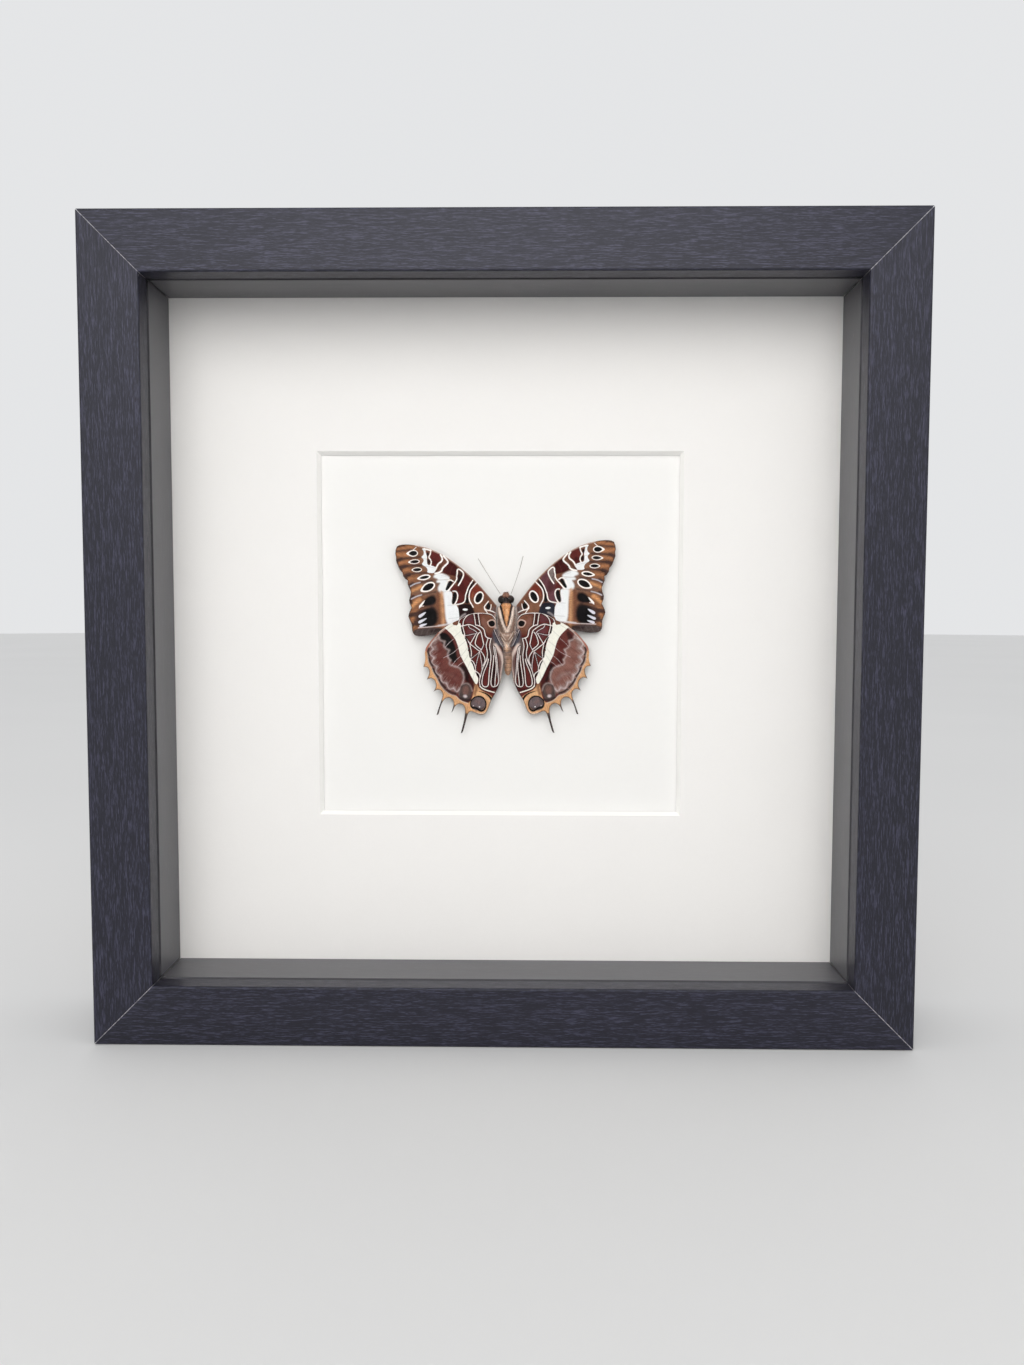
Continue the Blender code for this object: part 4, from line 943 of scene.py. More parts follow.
def paint_hindwing_margin(paint, left):
    """The chains of crescents with their fine combs, the ochre margin, the lower eye and tails."""
    wash, brush = paint.wash, paint.brush
    for k in range(0, len(LUNULE_INNER) - 2, 2):
        brush("lilac", 1, 0.5, LUNULE_INNER[k:k + 3], 0.75)
        brush("lilac_line", 0.5, 0.16, LUNULE_INNER[k:k + 3], 0.35)
    chain = rounded(LUNULE_OUTER, False, 1)
    for k in range(0, len(LUNULE_OUTER) - 2, 2):
        brush("lilac", 1.3, 0.9, LUNULE_OUTER[k:k + 3], 0.45 if left else 0.9)
        brush("lilac_line", 0.5, 0.24, LUNULE_OUTER[k:k + 3], 0.6)
    for k in range(COMB_LINES):
        share = k / (COMB_LINES - 1) * (len(chain) - 1.001)
        start = chain[int(share)] + (chain[int(share) + 1] - chain[int(share)]) * (share % 1)
        inward = WING_ROOT - start
        end = start + inward / np.hypot(*inward) * (1.3 + 0.8 * math.sin(k * 2.4))
        brush("lilac_line", 0.3, 0.05, [start, end], 0.3)
    brush("lilac", 1.6, 0.7, [(21.9, -0.4), (23.4, -2.6), (22.6, -4.2)], 0.55)
    brush("lilac", 1.8, 1, [(16.4, -14), (17.6, -12.6), (19.8, -12.2)], 0.1 if left else 0.45)
    brush("costal_pink", 0.5, 0.9, [(19.8, 2.9), (22, 1.1), (24.2, -1.2), (25.8, -3.8), (26.2, -5.2)], 0.9)
    brush("cream", 0.4, 0.16, [(19.4, 2.5), (21.9, 0.5), (24, -2), (25.2, -4)], 0.55)
    brush("cream", 1, 0.5, [(18.4, 3.4), (20.4, 2.6), (21.4, 1.6)], 0.85)
    wash("ochre", 0.35, [(26, -4.4), (25.5, -5.6), (25.5, -7.4), (25.2, -8.8), (24.4, -9.9), (23.8, -11.8),
        (22.7, -13.5), (21.8, -15.7), (20.2, -17.7), (18.5, -18.9), (16.7, -19.3), (15.9, -20), (14.9, -21),
        (12.6, -21.9), (11.6, -20.6), (10.9, -18.4), (10.6, -16.4), (9.9, -15.2), (9, -17.4), (5.4, -19.2),
        (4.4, -20.6), (6, -26.5), (13, -26), (20, -23), (24, -19), (28, -12), (27.6, -5)])
    brush("outer", 1.2, 0.9, [(10.2, -15.4), (9.9, -17.2), (10.6, -18.8)], 0.9)
    brush("cream", 0.3, 0.2, [(25.4, -5), (25.4, -7), (25.1, -8.7), (24.3, -9.9), (23.7, -11.8),
        (22.6, -13.5), (21.7, -15.7), (20.1, -17.6), (18.4, -18.9), (16.5, -19.3), (15.9, -20.2),
        (14.8, -21.1), (12.8, -21.8)], 0.5)
    for points in DARK_CRESCENTS:
        brush("crescent", 0.35, 0.55, points, 0.95)
    brush("pale_ochre", 1, 0.6, [(6, -21.2), (7.4, -19.2), (9.6, -18.6)], 0.8)
    brush("cream", 0.6, 0.3, [(5.2, -20.6), (5.9, -23), (7.2, -25.2), (9.2, -25.3), (12, -24.5)], 0.6)
    wash("tornus", 0.5, [(11.2, -16.2), (12.6, -14.9), (14.2, -15.2), (15.2, -16.6), (15.8, -19.6),
        (14.8, -20.5), (12.4, -20.8), (11.4, -19)])
    wash("rose", 1.2, [(12.2, -16), (14.4, -16.2), (14.6, -18.8), (12.4, -19.2)], 0.6)
    brush("lilac", 0.6, 0.3, [(11.3, -17.8), (11.9, -15.9), (13.2, -15.2), (14.7, -15.7)], 0.8)
    brush("lilac", 0.7, 0.2, [(15.2, -16.6), (15.6, -19)], 0.4)
    brush("crescent", 0.4, 0.7, [(11.9, -20.7), (13.4, -20.9), (15.2, -20.1)], 0.95)
    wash("lilac_line", 0.7, oval((13.6, -19.5), (0.6, 0.42), 10), 0.95)
    wash("eye_violet", 0.3, oval((9.45, -21.9), (2.5, 2.3), 0))
    brush("umber", 1.6, 0.5, [(10.6, -20.4), (11.4, -21.4)], 0.6)
    brush("umber", 1.2, 0.6, [(7.6, -23.4), (8.8, -24), (10.8, -23.2)], 0.8)
    brush("rose", 1.4, 0.6, [(9.2, -21.6), (10, -21.2)], 0.4)
    for points, width in (
        ([(13.3, -25.4), (13.8, -27.4), (14.5, -29.6), (15.2, -31.7)], 0.9),
        ([(14, -24.2), (14, -26)], 0.3),
        ([(17.4, -22.4), (17.7, -23.4), (18.1, -24.9)], 0.7),
        ([(21.3, -20.9), (22, -22.9), (23, -25.6)], 0.7),
    ):
        brush("tail", 0.5, width, points, 0.95)


def paint_hindwing_marks(paint):
    """The pale band, the network of pale lines with dark edges, and the eyed spots."""
    line, area = paint.line, paint.area
    area("pale", "cream", [(14.75, 4.6), (14.3, 1.8), (13.7, 0.1), (13, -1.6), (12.5, -3.4), (12.2, -5.2),
        (11.95, -7.2), (11, -9.2), (10.4, -10.8), (9.9, -12.6), (9.2, -13.8), (9.6, -15.6), (10.2, -15.6),
        (10.7, -14.7), (11.8, -12.6), (12.9, -10.1), (14, -8.1), (15, -6), (15.5, -3.6), (16.2, -1.5),
        (17.2, 0.2), (18.9, 1.9), (20.2, 3), (18.5, 4.2)], 1)
    notch = [(15.4, 5.3), (16.4, 4.7), (17.3, 4.1), (17, 3.5), (15.4, 3.3)]
    area("dark", "brown", notch, 1)
    paint.clear("pale", area_distance(paint.places, rounded(notch, True, 1)))
    network = (
        (0.3, [(3.2, 4.9), (3.9, 6), (4.8, 6.7), (6, 7), (7.5, 7.2), (9, 7.1), (10.7, 7.2), (11.9, 6.8),
            (13, 5.9), (13.7, 4.8), (13.9, 3.2)]),
        (0.3, [(11.9, 6.8), (13.2, 6.3), (14.5, 5.6), (15.1, 4.9), (15.2, 4), (14.8, 3.1)]),
        (0.3, [(8.9, 7.1), (8.7, 5.1), (8.4, 3.2)]),
        (0.3, [(10.3, 7.1), (10, 5.3), (9.8, 3.5)]),
        (0.34, [(9.8, 3.4), (8.5, 3.1), (7.1, 2), (6.9, 0.8), (6.7, -0.3), (6.1, -0.8), (5.3, -1)]),
        (0.32, [(14.9, 3.1), (13.7, 3.2), (12.3, 3.6), (11.5, 3.5), (10.4, 3.1), (9.2, 2.2), (8.3, 1.6),
            (8, 0.6), (7.7, -0.9), (7.3, -2.8)]),
        (0.26, [(12.1, 3.2), (11.7, 2.4), (10.8, 2), (9.8, 1.4), (9.3, 0.8)]),
        (0.32, [(8.6, 1), (9.3, 0.2), (9.7, -1), (10.1, -2.3), (9.9, -3.1), (9, -3.9), (8.1, -4.6)]),
        (0.22, [(9.5, 0.7), (11.2, 0.4), (12.4, 0.1), (13.5, 0.1)]),
        (0.28, [(9.8, 0.4), (10.6, -0.9), (11.2, -1.9), (11.8, -2.9)]),
        (0.3, [(13.6, 0), (12.9, -0.9), (12.3, -1.7), (11.8, -2.6), (11, -3.2), (9.8, -4.2), (8.6, -5.1)]),
        (0.3, [(13.95, 3), (13.7, 1.8), (13.35, 0.5), (13.5, 0)]),
        (0.3, [(11.8, -2.8), (11.6, -3.8), (11.3, -5.2), (11.4, -6.6), (11.7, -7.5)]),
        (0.2, [(8.6, -5.1), (9.6, -6), (10.5, -6.7), (11.6, -7.5)]),
        (0.32, [(11.8, -7.6), (10.9, -8.2), (10.4, -9.2), (10.1, -10.3), (10.1, -11.5)]),
        (0.2, [(8.8, -5.4), (9.2, -6.8), (9.7, -8.6), (10, -10)]),
        (0.3, [(8.3, -5), (7.6, -5.9), (7.1, -7), (6.95, -8.1), (7.25, -9), (7.6, -9.6)]),
        (0.26, [(8.65, -5.4), (8.4, -6.8), (8.2, -8.2), (8, -9.4), (8, -10.9)]),
        (0.28, [(10.1, -11.5), (9.2, -12), (8.7, -12.8), (8.8, -13.6)]),
        (0.26, [(7.3, -2.8), (7.7, -3.9), (8.3, -4.8)]),
        (0.3, [(5.9, -1), (6.4, -2.5), (6.6, -3.4), (6.3, -4.6), (6.15, -5.9), (6.3, -7.2), (6.7, -8.4),
            (7.2, -9.4), (7.8, -10.7), (8.2, -11.8), (8.5, -13), (8.85, -14), (8.95, -15.1), (8.7, -16.3)]),
        (0.3, [(4.9, -1), (5.25, -2.3), (5.5, -3.9), (5.1, -5.6), (5.05, -7.2), (5.25, -8.7), (5.45, -10.2),
            (5.7, -11.8), (5.85, -13.4), (5.95, -15.1), (6.15, -16.2), (6.7, -16.6), (7.5, -16.5),
            (8.05, -16), (8.15, -14.9), (7.95, -13.6), (7.6, -12.3), (7.1, -11), (6.5, -9.7), (6.1, -8.7),
            (5.9, -7.6)]),
        (0.28, [(4.2, -6.5), (4.25, -8), (4.45, -9.5), (4.7, -11.1), (4.95, -12.8), (5.15, -14.3),
            (5.25, -15.4), (5.05, -16.3), (4.55, -16.6), (3.9, -16.5), (3.2, -16.2), (2.75, -15.1),
            (2.75, -13.8), (2.9, -12.1), (3, -10.5), (3.05, -8.8), (3.2, -7.2), (3.4, -5.6), (3.7, -3.9)]),
        (0.28, [(4, -16.4), (3.9, -14.6), (3.7, -13.1), (3.5, -11.5), (3.4, -9.8), (3.5, -8.4), (3.7, -6.7),
            (4, -5.1), (4.15, -3.4)]),
        (0.24, [(3.9, 1.8), (3.3, 0.2), (2.4, -1.8), (1.6, -3.2)]),
    )
    for width, points in network:
        line("dark", "umber", width + NETWORK_EDGE, points)
        line("pale", "lilac_line" if width < NETWORK_FINE else "network", width * NETWORK_SHARE, points)
    for points in (
        [(14.35, 2.6), (13.95, 0.7)],
        [(13.2, -0.7), (12.6, -1.7)],
        [(12.5, -2.6), (12, -3.1)],
        [(12.05, -3.9), (12.25, -4.8)],
        [(11.85, -5.2), (11.7, -7)],
        [(11.3, -8.3), (10.7, -9.4), (10.35, -10.8)],
        [(9.7, -12.2), (9.2, -12.9), (9, -13.5)],
    ):
        line("dark", "black", GAP_WIDTH, points)
        paint.clear("pale", route_distance(paint.places, rounded(points, False)) - GAP_WIDTH / 2)
    for points in (
        [(17, -1), (18.6, -2.3), (19.7, -3.6)],
        [(15.3, -3.8), (17.2, -5.5), (20.4, -7)],
        [(14.6, -6.4), (16.2, -7.6), (17.8, -9.6)],
        [(13.7, -8.3), (15, -9), (15.9, -9.9)],
    ):
        line("pale", "lilac_line", 0.12, points)
    paint.ring("base_ring", oval((4.6, 3.75), (1.08, 1), 20, 0.1), oval((4.6, 3.8), (1.4, 1.34), 20, 0.2))
    line("pale", "cream", 0.34, [(4.2, -18.4), (5.6, -18), (6.8, -17.6), (8, -17.1), (8.8, -16.3)])
    area("dark", "black", [(4.7, -20.9), (5.3, -19.6), (6.6, -18.6), (8.4, -18), (9.6, -17.8), (8.2, -18.4),
        (6.7, -19.1), (5.8, -20.1), (5.1, -21.4)], 1)
    outer = rounded([(9.4, -19.3), (10.9, -19.7), (11.9, -20.9), (12.2, -22), (11.9, -23.1), (11.2, -23.7),
        (10.5, -23.55), (9.9, -23.8), (9.3, -24.4), (8.4, -24.7), (7.4, -24.3), (6.8, -23), (6.7, -21.7),
        (7.2, -20.4), (8.2, -19.5)], True)
    inner = rounded([(9.4, -19.8), (10.7, -20.1), (11.6, -21.1), (11.8, -22), (11.4, -22.9), (10.4, -23),
        (9.6, -23.3), (8.8, -24.1), (7.7, -23.8), (7.2, -22.8), (7.15, -21.6), (7.6, -20.6), (8.5, -20)],
        True)
    ring = np.maximum(area_distance(paint.places, outer), -area_distance(paint.places, inner))
    paint.mark("dark", "black", ring)
    area("pale", "white", oval((9.05, -23), (0.24, 0.2), 15), 0)
    area("pale", "lilac_line", oval((11, -22.6), (0.2, 0.16), 15), 0)


# Wings

def mesh_places(mesh):
    """The mesh's vertices, one place a row."""
    co = np.empty(len(mesh.vertices) * 3)
    mesh.vertices.foreach_get("co", co)
    return co.reshape(-1, 3)


def canonical(name, co):
    """A wing's vertices in the places its markings are given in, outwards and upwards."""
    side, shift_out, shift_up, turn = WING_SETTINGS[name]
    outward = side * (co[:, 0] - SPECIMEN_X) / MM - shift_out - WING_ROOT[0]
    upward = (co[:, 2] - SPECIMEN_Z) / MM - shift_up - WING_ROOT[1]
    cos, sin = math.cos(math.radians(turn)), math.sin(math.radians(turn))
    return np.stack([outward * cos - upward * sin + WING_ROOT[0],
                     outward * sin + upward * cos + WING_ROOT[1]], axis=1)


def cut_wing(name):
    """The solid wing, cut into small cells so that it can carry veins and markings."""
    bm = bmesh.new()
    bm.from_mesh(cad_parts[name].data)
    bmesh.ops.remove_doubles(bm, verts=bm.verts, dist=MERGE)
    cell = WING_CELL * MM
    for axis, normal in ((0, (1, 0, 0)), (2, (0, 0, 1))):
        low = min(vert.co[axis] for vert in bm.verts)
        high = max(vert.co[axis] for vert in bm.verts)
        for k in range(1, int((high - low) / cell)):
            place = [0.0, 0.0, 0.0]
            place[axis] = low + k * cell
            bmesh.ops.bisect_plane(bm, geom=bm.verts[:] + bm.edges[:] + bm.faces[:],
                                   plane_co=place, plane_no=normal, dist=MERGE)
    return bm


def vein_distance(places, veins):
    """Distance to the nearest vein."""
    best = np.full(len(places), REACH)
    for vein in veins:
        best = np.minimum(best, route_distance(places, rounded(vein, False)))
    return best


def store(mesh, name, kind, values):
    """Keep one value for each vertex as an attribute of the mesh."""
    layer = mesh.attributes.new(name, kind, "POINT")
    if kind == "FLOAT":
        layer.data.foreach_set("value", values.astype(np.float32))
    elif kind == "FLOAT_VECTOR":
        layer.data.foreach_set("vector", values.astype(np.float32).ravel())
    else:
        full = np.ones((len(values), 4), np.float32)
        full[:, :3] = values
        layer.data.foreach_set("color", full.ravel())


def build_wing(name, front, back):
    """One wing: painted scales in front, the plainer upperside behind, veins standing a little."""
    bm = cut_wing(name)
    bm.normal_update()
    for face in bm.faces:
        face.smooth = True
        face.material_index = 1 if face.normal.y > 0.5 else 0
    rim = [vert.co.copy() for vert in bm.verts
           if any(abs(face.normal.y) < 0.5 for face in vert.link_faces)]
    is_front = np.array([vert.normal.y < 0 for vert in bm.verts])
    wing = piece(name + "_scaled", bm, [front, back], smooth=False)
    mesh = wing.data
    fore = name.startswith("forewing")
    left = name.endswith("left")
    co = mesh_places(mesh)
    places = canonical(name, co)
    paint = Painting(places, "brown" if fore else "maroon")
    if fore:
        paint_forewing_ground(paint, left)
        paint_forewing_margin(paint, left)
        paint_forewing_marks(paint)
    else:
        paint_hindwing_ground(paint, left)
        paint_hindwing_margin(paint, left)
        paint_hindwing_marks(paint)
    tree = kdtree.KDTree(len(rim))
    for k, place in enumerate(rim):
        tree.insert(place, k)
    tree.balance()
    edge = np.array([tree.find(Vector(place))[2] for place in co]) / MM
    vein = vein_distance(places, FOREWING_VEINS if fore else HINDWING_VEINS)
    paint.outline("streak" if fore else "tail", edge, fore)
    offset = places - WING_ROOT
    radius = np.hypot(offset[:, 0], offset[:, 1])
    angle = np.arctan2(offset[:, 1], offset[:, 0])
    store(mesh, "ground", "FLOAT_COLOR", paint.ground)
    for layer, (distance, tint) in paint.marks.items():
        store(mesh, layer + "_edge", "FLOAT", distance)
        store(mesh, layer + "_tint", "FLOAT_COLOR", tint)
    store(mesh, "band", "FLOAT", area_distance(places, rounded(FORE_BAND if fore else HIND_BAND, True)))
    store(mesh, "vein", "FLOAT", vein)
    store(mesh, "rim", "FLOAT", edge)
    store(mesh, "fan", "FLOAT_VECTOR", np.stack([angle, radius / 10, radius * 0], axis=1))
    raise_veins(mesh, co, places, vein, edge, is_front)
    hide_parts(name)


def raise_veins(mesh, co, places, vein, edge, is_front):
    """Thin the slab, lift its veins and let the skin between them dip and ripple."""
    ridge = VEIN_RISE * np.exp(-(vein / VEIN_WIDTH) ** 2)
    dip = VEIN_RISE * 0.8 * np.clip(vein / 1.6, 0, 1) ** 2 * np.clip(edge / 1.0, 0, 1)
    ripple = np.array([noise.noise(Vector((x * 0.35, z * 0.35, 3.0))) for x, z in places])
    lift = (ridge - dip + RIPPLE * ripple * np.clip(edge / 2.0, 0.2, 1)) * MM
    thin = (1 - WING_LEANNESS) * WING_THICKNESS / 2
    co[:, 1] += np.where(is_front, thin, -thin) - lift
    mesh.vertices.foreach_set("co", co.ravel())
    mesh.update()


def wing_finish():
    """Painted scales: ground washes, then dark and pale marks with the ragged edge of scales."""
    material, tree, shader = new_material("wing_underside", 0.6)
    place = coordinates(tree)
    scales = place_group(tree, SCALE_DUST, Coordinates=place, Size=7500.0, Contrast=0.34)
    fan = attribute(tree, "fan", "Vector")
    streak = noise_value(tree, stretched(tree, fan, (90.0, 1.6, 1.0)), 1.0, 3.0, 0.6)
    mottle = noise_value(tree, place, 700.0, 3.0, 0.6)
    shade = times(tree, ranged(tree, streak, 0.3, 0.7, 0.84, 1.14),
                  ranged(tree, mottle, 0.3, 0.7, 0.88, 1.12))
    ground = attribute(tree, "ground", "Color")
    level = node(tree, "ShaderNodeRGBToBW", {"Color": ground}).outputs[0]
    shade = colour_mix(tree, ranged(tree, level, 0.30, 0.75),
                       grey(tree, times(tree, scales["Shade"], shade)), (0.97, 0.97, 0.97, 1.0))
    colour = colour_mix(tree, 1.0, ground, shade, "MULTIPLY")
    dark = place_group(tree, MARK_COVER, Distance=attribute(tree, "dark_edge"), Raggedness=0.10,
                       Chance=scales["Chance"], Softness=0.09)
    pale = place_group(tree, MARK_COVER, Distance=attribute(tree, "pale_edge"), Raggedness=0.07,
                       Chance=scales["Chance"], Softness=0.08)
    light = ranged(tree, scales["Shade"], 0.83, 1.17, 0.93, 1.03, smooth=False)
    light = times(tree, light, ranged(tree, mottle, 0.3, 0.7, 0.96, 1.02))
    light = times(tree, light, ranged(tree, attribute(tree, "vein"), 0.04, 0.20, 0.80, 1.0))
    colour = colour_mix(tree, dark["Cover"], colour, attribute(tree, "dark_tint", "Color"))
    colour = colour_mix(tree, pale["Cover"], colour,
                        shaded(tree, attribute(tree, "pale_tint", "Color"), light))
    height = plus(tree, scales["Height"], times(tree, streak, 0.8))
    rough = ranged(tree, scales["Shade"], 0.83, 1.17, 0.68, 0.50, smooth=False)
    drive(tree, shader, Base_Color=colour, Roughness=rough, Specular_IOR_Level=WING_SHEEN,
          Normal=bump(tree, height, 0.30, 0.00002))
    return material


def upperside_finish():
    """The side towards the board: black-brown with the pale band and an orange-brown edge."""
    material, tree, shader = new_material("wing_upperside", 0.6)
    place = coordinates(tree)
    scales = place_group(tree, SCALE_DUST, Coordinates=place, Size=7500.0, Contrast=0.4)
    fan = attribute(tree, "fan", "Vector")
    streak = noise_value(tree, stretched(tree, fan, (60.0, 1.6, 1.0)), 1.0, 3.0, 0.6)
    colour = colour_mix(tree, streak, tone(34, 22, 18), tone(62, 38, 28))
    edge = ranged(tree, plus(tree, attribute(tree, "rim"), streak), 1.2, 2.6, 0.8, 0.0)
    colour = colour_mix(tree, edge, colour, tone(136, 84, 50))
    band = place_group(tree, MARK_COVER, Distance=attribute(tree, "band"), Raggedness=0.5,
                       Chance=scales["Chance"], Softness=0.25)
    colour = colour_mix(tree, band["Cover"], colour, tone(226, 222, 210))
    vein = ranged(tree, attribute(tree, "vein"), 0.05, 0.22, 0.65, 1.0)
    drive(tree, shader, Base_Color=shaded(tree, colour, times(tree, scales["Shade"], vein)),
          Specular_IOR_Level=WING_SHEEN, Normal=bump(tree, scales["Height"], 0.3, 0.00002))
    return material


def build_wings():
    front, back = wing_finish(), upperside_finish()
    for name in WING_SETTINGS:
        build_wing(name, front, back)


# Body, with the trunk's sections as the solid has them: height, half width, half depth, forward

TRUNK_SECTIONS = [
    (-12.8, 0.15, 0.15, 1.6), (-12.5, 0.5, 0.45, 1.6), (-11.6, 0.88, 0.85, 1.6), (-9.6, 1.2, 1.15, 1.6),
    (-7.2, 1.3, 1.2, 1.6), (-5.2, 1.28, 1.2, 1.6), (-3.8, 1.25, 1.25, 1.1), (-2.6, 1.5, 1.5, 0.4),
    (-1, 2.1, 2.1, 0), (1, 2.6, 2.45, 0), (3.5, 2.88, 2.6, 0), (6.2, 2.86, 2.55, 0), (8.2, 2.62, 2.3, 0.1),
    (9.4, 2.1, 1.8, 0.3), (10.1, 1.55, 1.35, 0.5), (11, 1.75, 1.5, 0.5), (12, 1.7, 1.45, 0.5),
    (12.8, 1.15, 1.05, 0.5), (13.1, 0.35, 0.35, 0.5),
]
ABDOMEN_RINGS = 7
TRUNK_STEP = 0.16
TRUNK_SIDES = 44
WAIST = -3.6
SEGMENT = 1.32
EYE_PLACE = (1.04, 11.42, 0.80)
EYE_SIZE = (1.58, 1.30, 1.42)
LIMB_STEPS = 26
PALP_STEPS = 16
FEELER_STEPS = 40

# Folded legs: places outwards, upwards and proud of the trunk, then radii and tone
LIMBS = {
    "fore_leg": ([(2.3, 9.2, 0.0), (2.0, 7.4, 0.24), (1.5, 5.0, 0.28), (0.9, 3.1, 0.24),
                  (0.30, 1.7, 0.1)], (0.30, 0.46, 0.42, 0.34, 0.16), "beige"),
    "fore_shin": ([(1.5, 9.3, 0.1), (1.35, 7.6, 0.22), (0.95, 5.2, 0.22), (0.45, 3.2, 0.18)],
                  (0.16, 0.22, 0.20, 0.12), "seam"),
    "middle_leg": ([(3.0, 2.6, -0.3), (2.9, 0.9, -0.1), (2.4, -0.9, 0.15), (1.7, -2.4, 0.30),
                    (0.9, -3.7, 0.15)], (0.30, 0.55, 0.58, 0.44, 0.16), "leg_dark"),
    "middle_edge": ([(3.35, 1.9, -0.2), (3.15, 0.3, 0.1), (2.65, -1.4, 0.45), (1.9, -2.9, 0.6),
                     (1.3, -3.7, 0.4)], (0.10, 0.15, 0.15, 0.12, 0.08), "leg_edge"),
    "middle_shin": ([(2.1, 1.2, 0.15), (1.5, 0.1, 0.28), (0.9, -0.8, 0.30), (0.4, -1.5, 0.2)],
                    (0.10, 0.16, 0.15, 0.10), "beige"),
    "rear_shin": ([(1.9, -0.6, 0.2), (1.3, -1.6, 0.34), (0.75, -2.4, 0.34), (0.35, -3.0, 0.2)],
                  (0.10, 0.15, 0.14, 0.09), "beige"),
}

# Feelers and palps: places outwards, upwards and forward, then radii
FEELERS = {
    "antenna_right": [(1.35, 13.35, 1.0), (2.6, 16.8, 1.5), (4.0, 21.0, 1.8), (5.1, 25.2, 1.7)],
    "antenna_left": [(-2.2, 13.25, 1.0), (-4.3, 16.5, 1.5), (-6.9, 20.6, 1.8), (-9.2, 24.4, 1.7)],
}
FEELER_BAND = 0.30 * MM
FEELER_RADII = (0.13, 0.10, 0.10, 0.10, 0.15, 0.11)
PALP = ([(0.42, 12.0, 1.3), (0.50, 12.55, 1.5), (0.40, 13.1, 1.25), (0.18, 13.55, 0.9)],
        (0.40, 0.72, 0.62, 0.18))


def trunk_measures(height):
    """Half width, half depth and forward place of the trunk, with the abdomen's rings."""
    heights, *columns = np.array(TRUNK_SECTIONS).T
    around = height + np.linspace(-0.5, 0.5, 5)
    half_width, half_depth, forward = [np.interp(around, heights, column).mean() for column in columns]
    if height < WAIST:
        share = (WAIST - height) / SEGMENT % 1.0
        swell = 1.0 + 0.05 * math.sin(math.pi * share ** 0.7) - 0.07 * (share > 0.9)
        half_width, half_depth = half_width * swell, half_depth * swell
    return half_width, half_depth, forward


def trunk_point(x, z, proud):
    """A point proud of the trunk's front, in body millimetres: outwards, forward, upwards."""
    half_width, half_depth, forward = trunk_measures(z)
    across = max(-0.98, min(0.98, x / half_width))
    return Vector((x, -(forward + half_depth * math.sqrt(1 - across * across) + proud), z))


def flowing(points, count):
    """A smooth path through a few given points."""
    points = np.array(points, float)
    padded = np.vstack([2 * points[0] - points[1], points, 2 * points[-1] - points[-2]])
    path = []
    for share in np.linspace(0, len(points) - 1 - 1e-6, count):
        k, t = int(share), share % 1.0
        a, b, c, d = padded[k:k + 4]
        path.append(Vector(0.5 * (2 * b + (c - a) * t + (2 * a - 5 * b + 4 * c - d) * t ** 2
                                  + (3 * b - a - 3 * c + d) * t ** 3)))
    return path


def skin(bm, places, sides):
    """Rings at the given places, joined into one closed tube."""
    rings = []
    for place in places:
        made = bmesh.ops.create_circle(bm, segments=sides, radius=1.0, matrix=place)
        rings.append({edge for vert in made["verts"] for edge in vert.link_edges})
    for lower, upper in zip(rings, rings[1:]):
        bmesh.ops.bridge_loops(bm, edges=list(lower | upper))
    for ring in (rings[0], rings[-1]):
        bmesh.ops.contextual_create(bm, geom=list(ring))


def tube(bm, path, radii, sides=12):
    """A closed tube along a path, whose radius runs through evenly spread values."""
    places = []
    for k, point in enumerate(path):
        along = path[min(k + 1, len(path) - 1)] - path[max(k - 1, 0)]
        share = k / (len(path) - 1) * (len(radii) - 1)
        radius = float(np.interp(share, range(len(radii)), radii))
        turn = along.to_track_quat("Z", "Y").to_matrix().to_4x4()
        places.append(Matrix.Translation(point) @ turn @ Matrix.Diagonal((radius, radius, 1, 1)))
    skin(bm, places, sides)


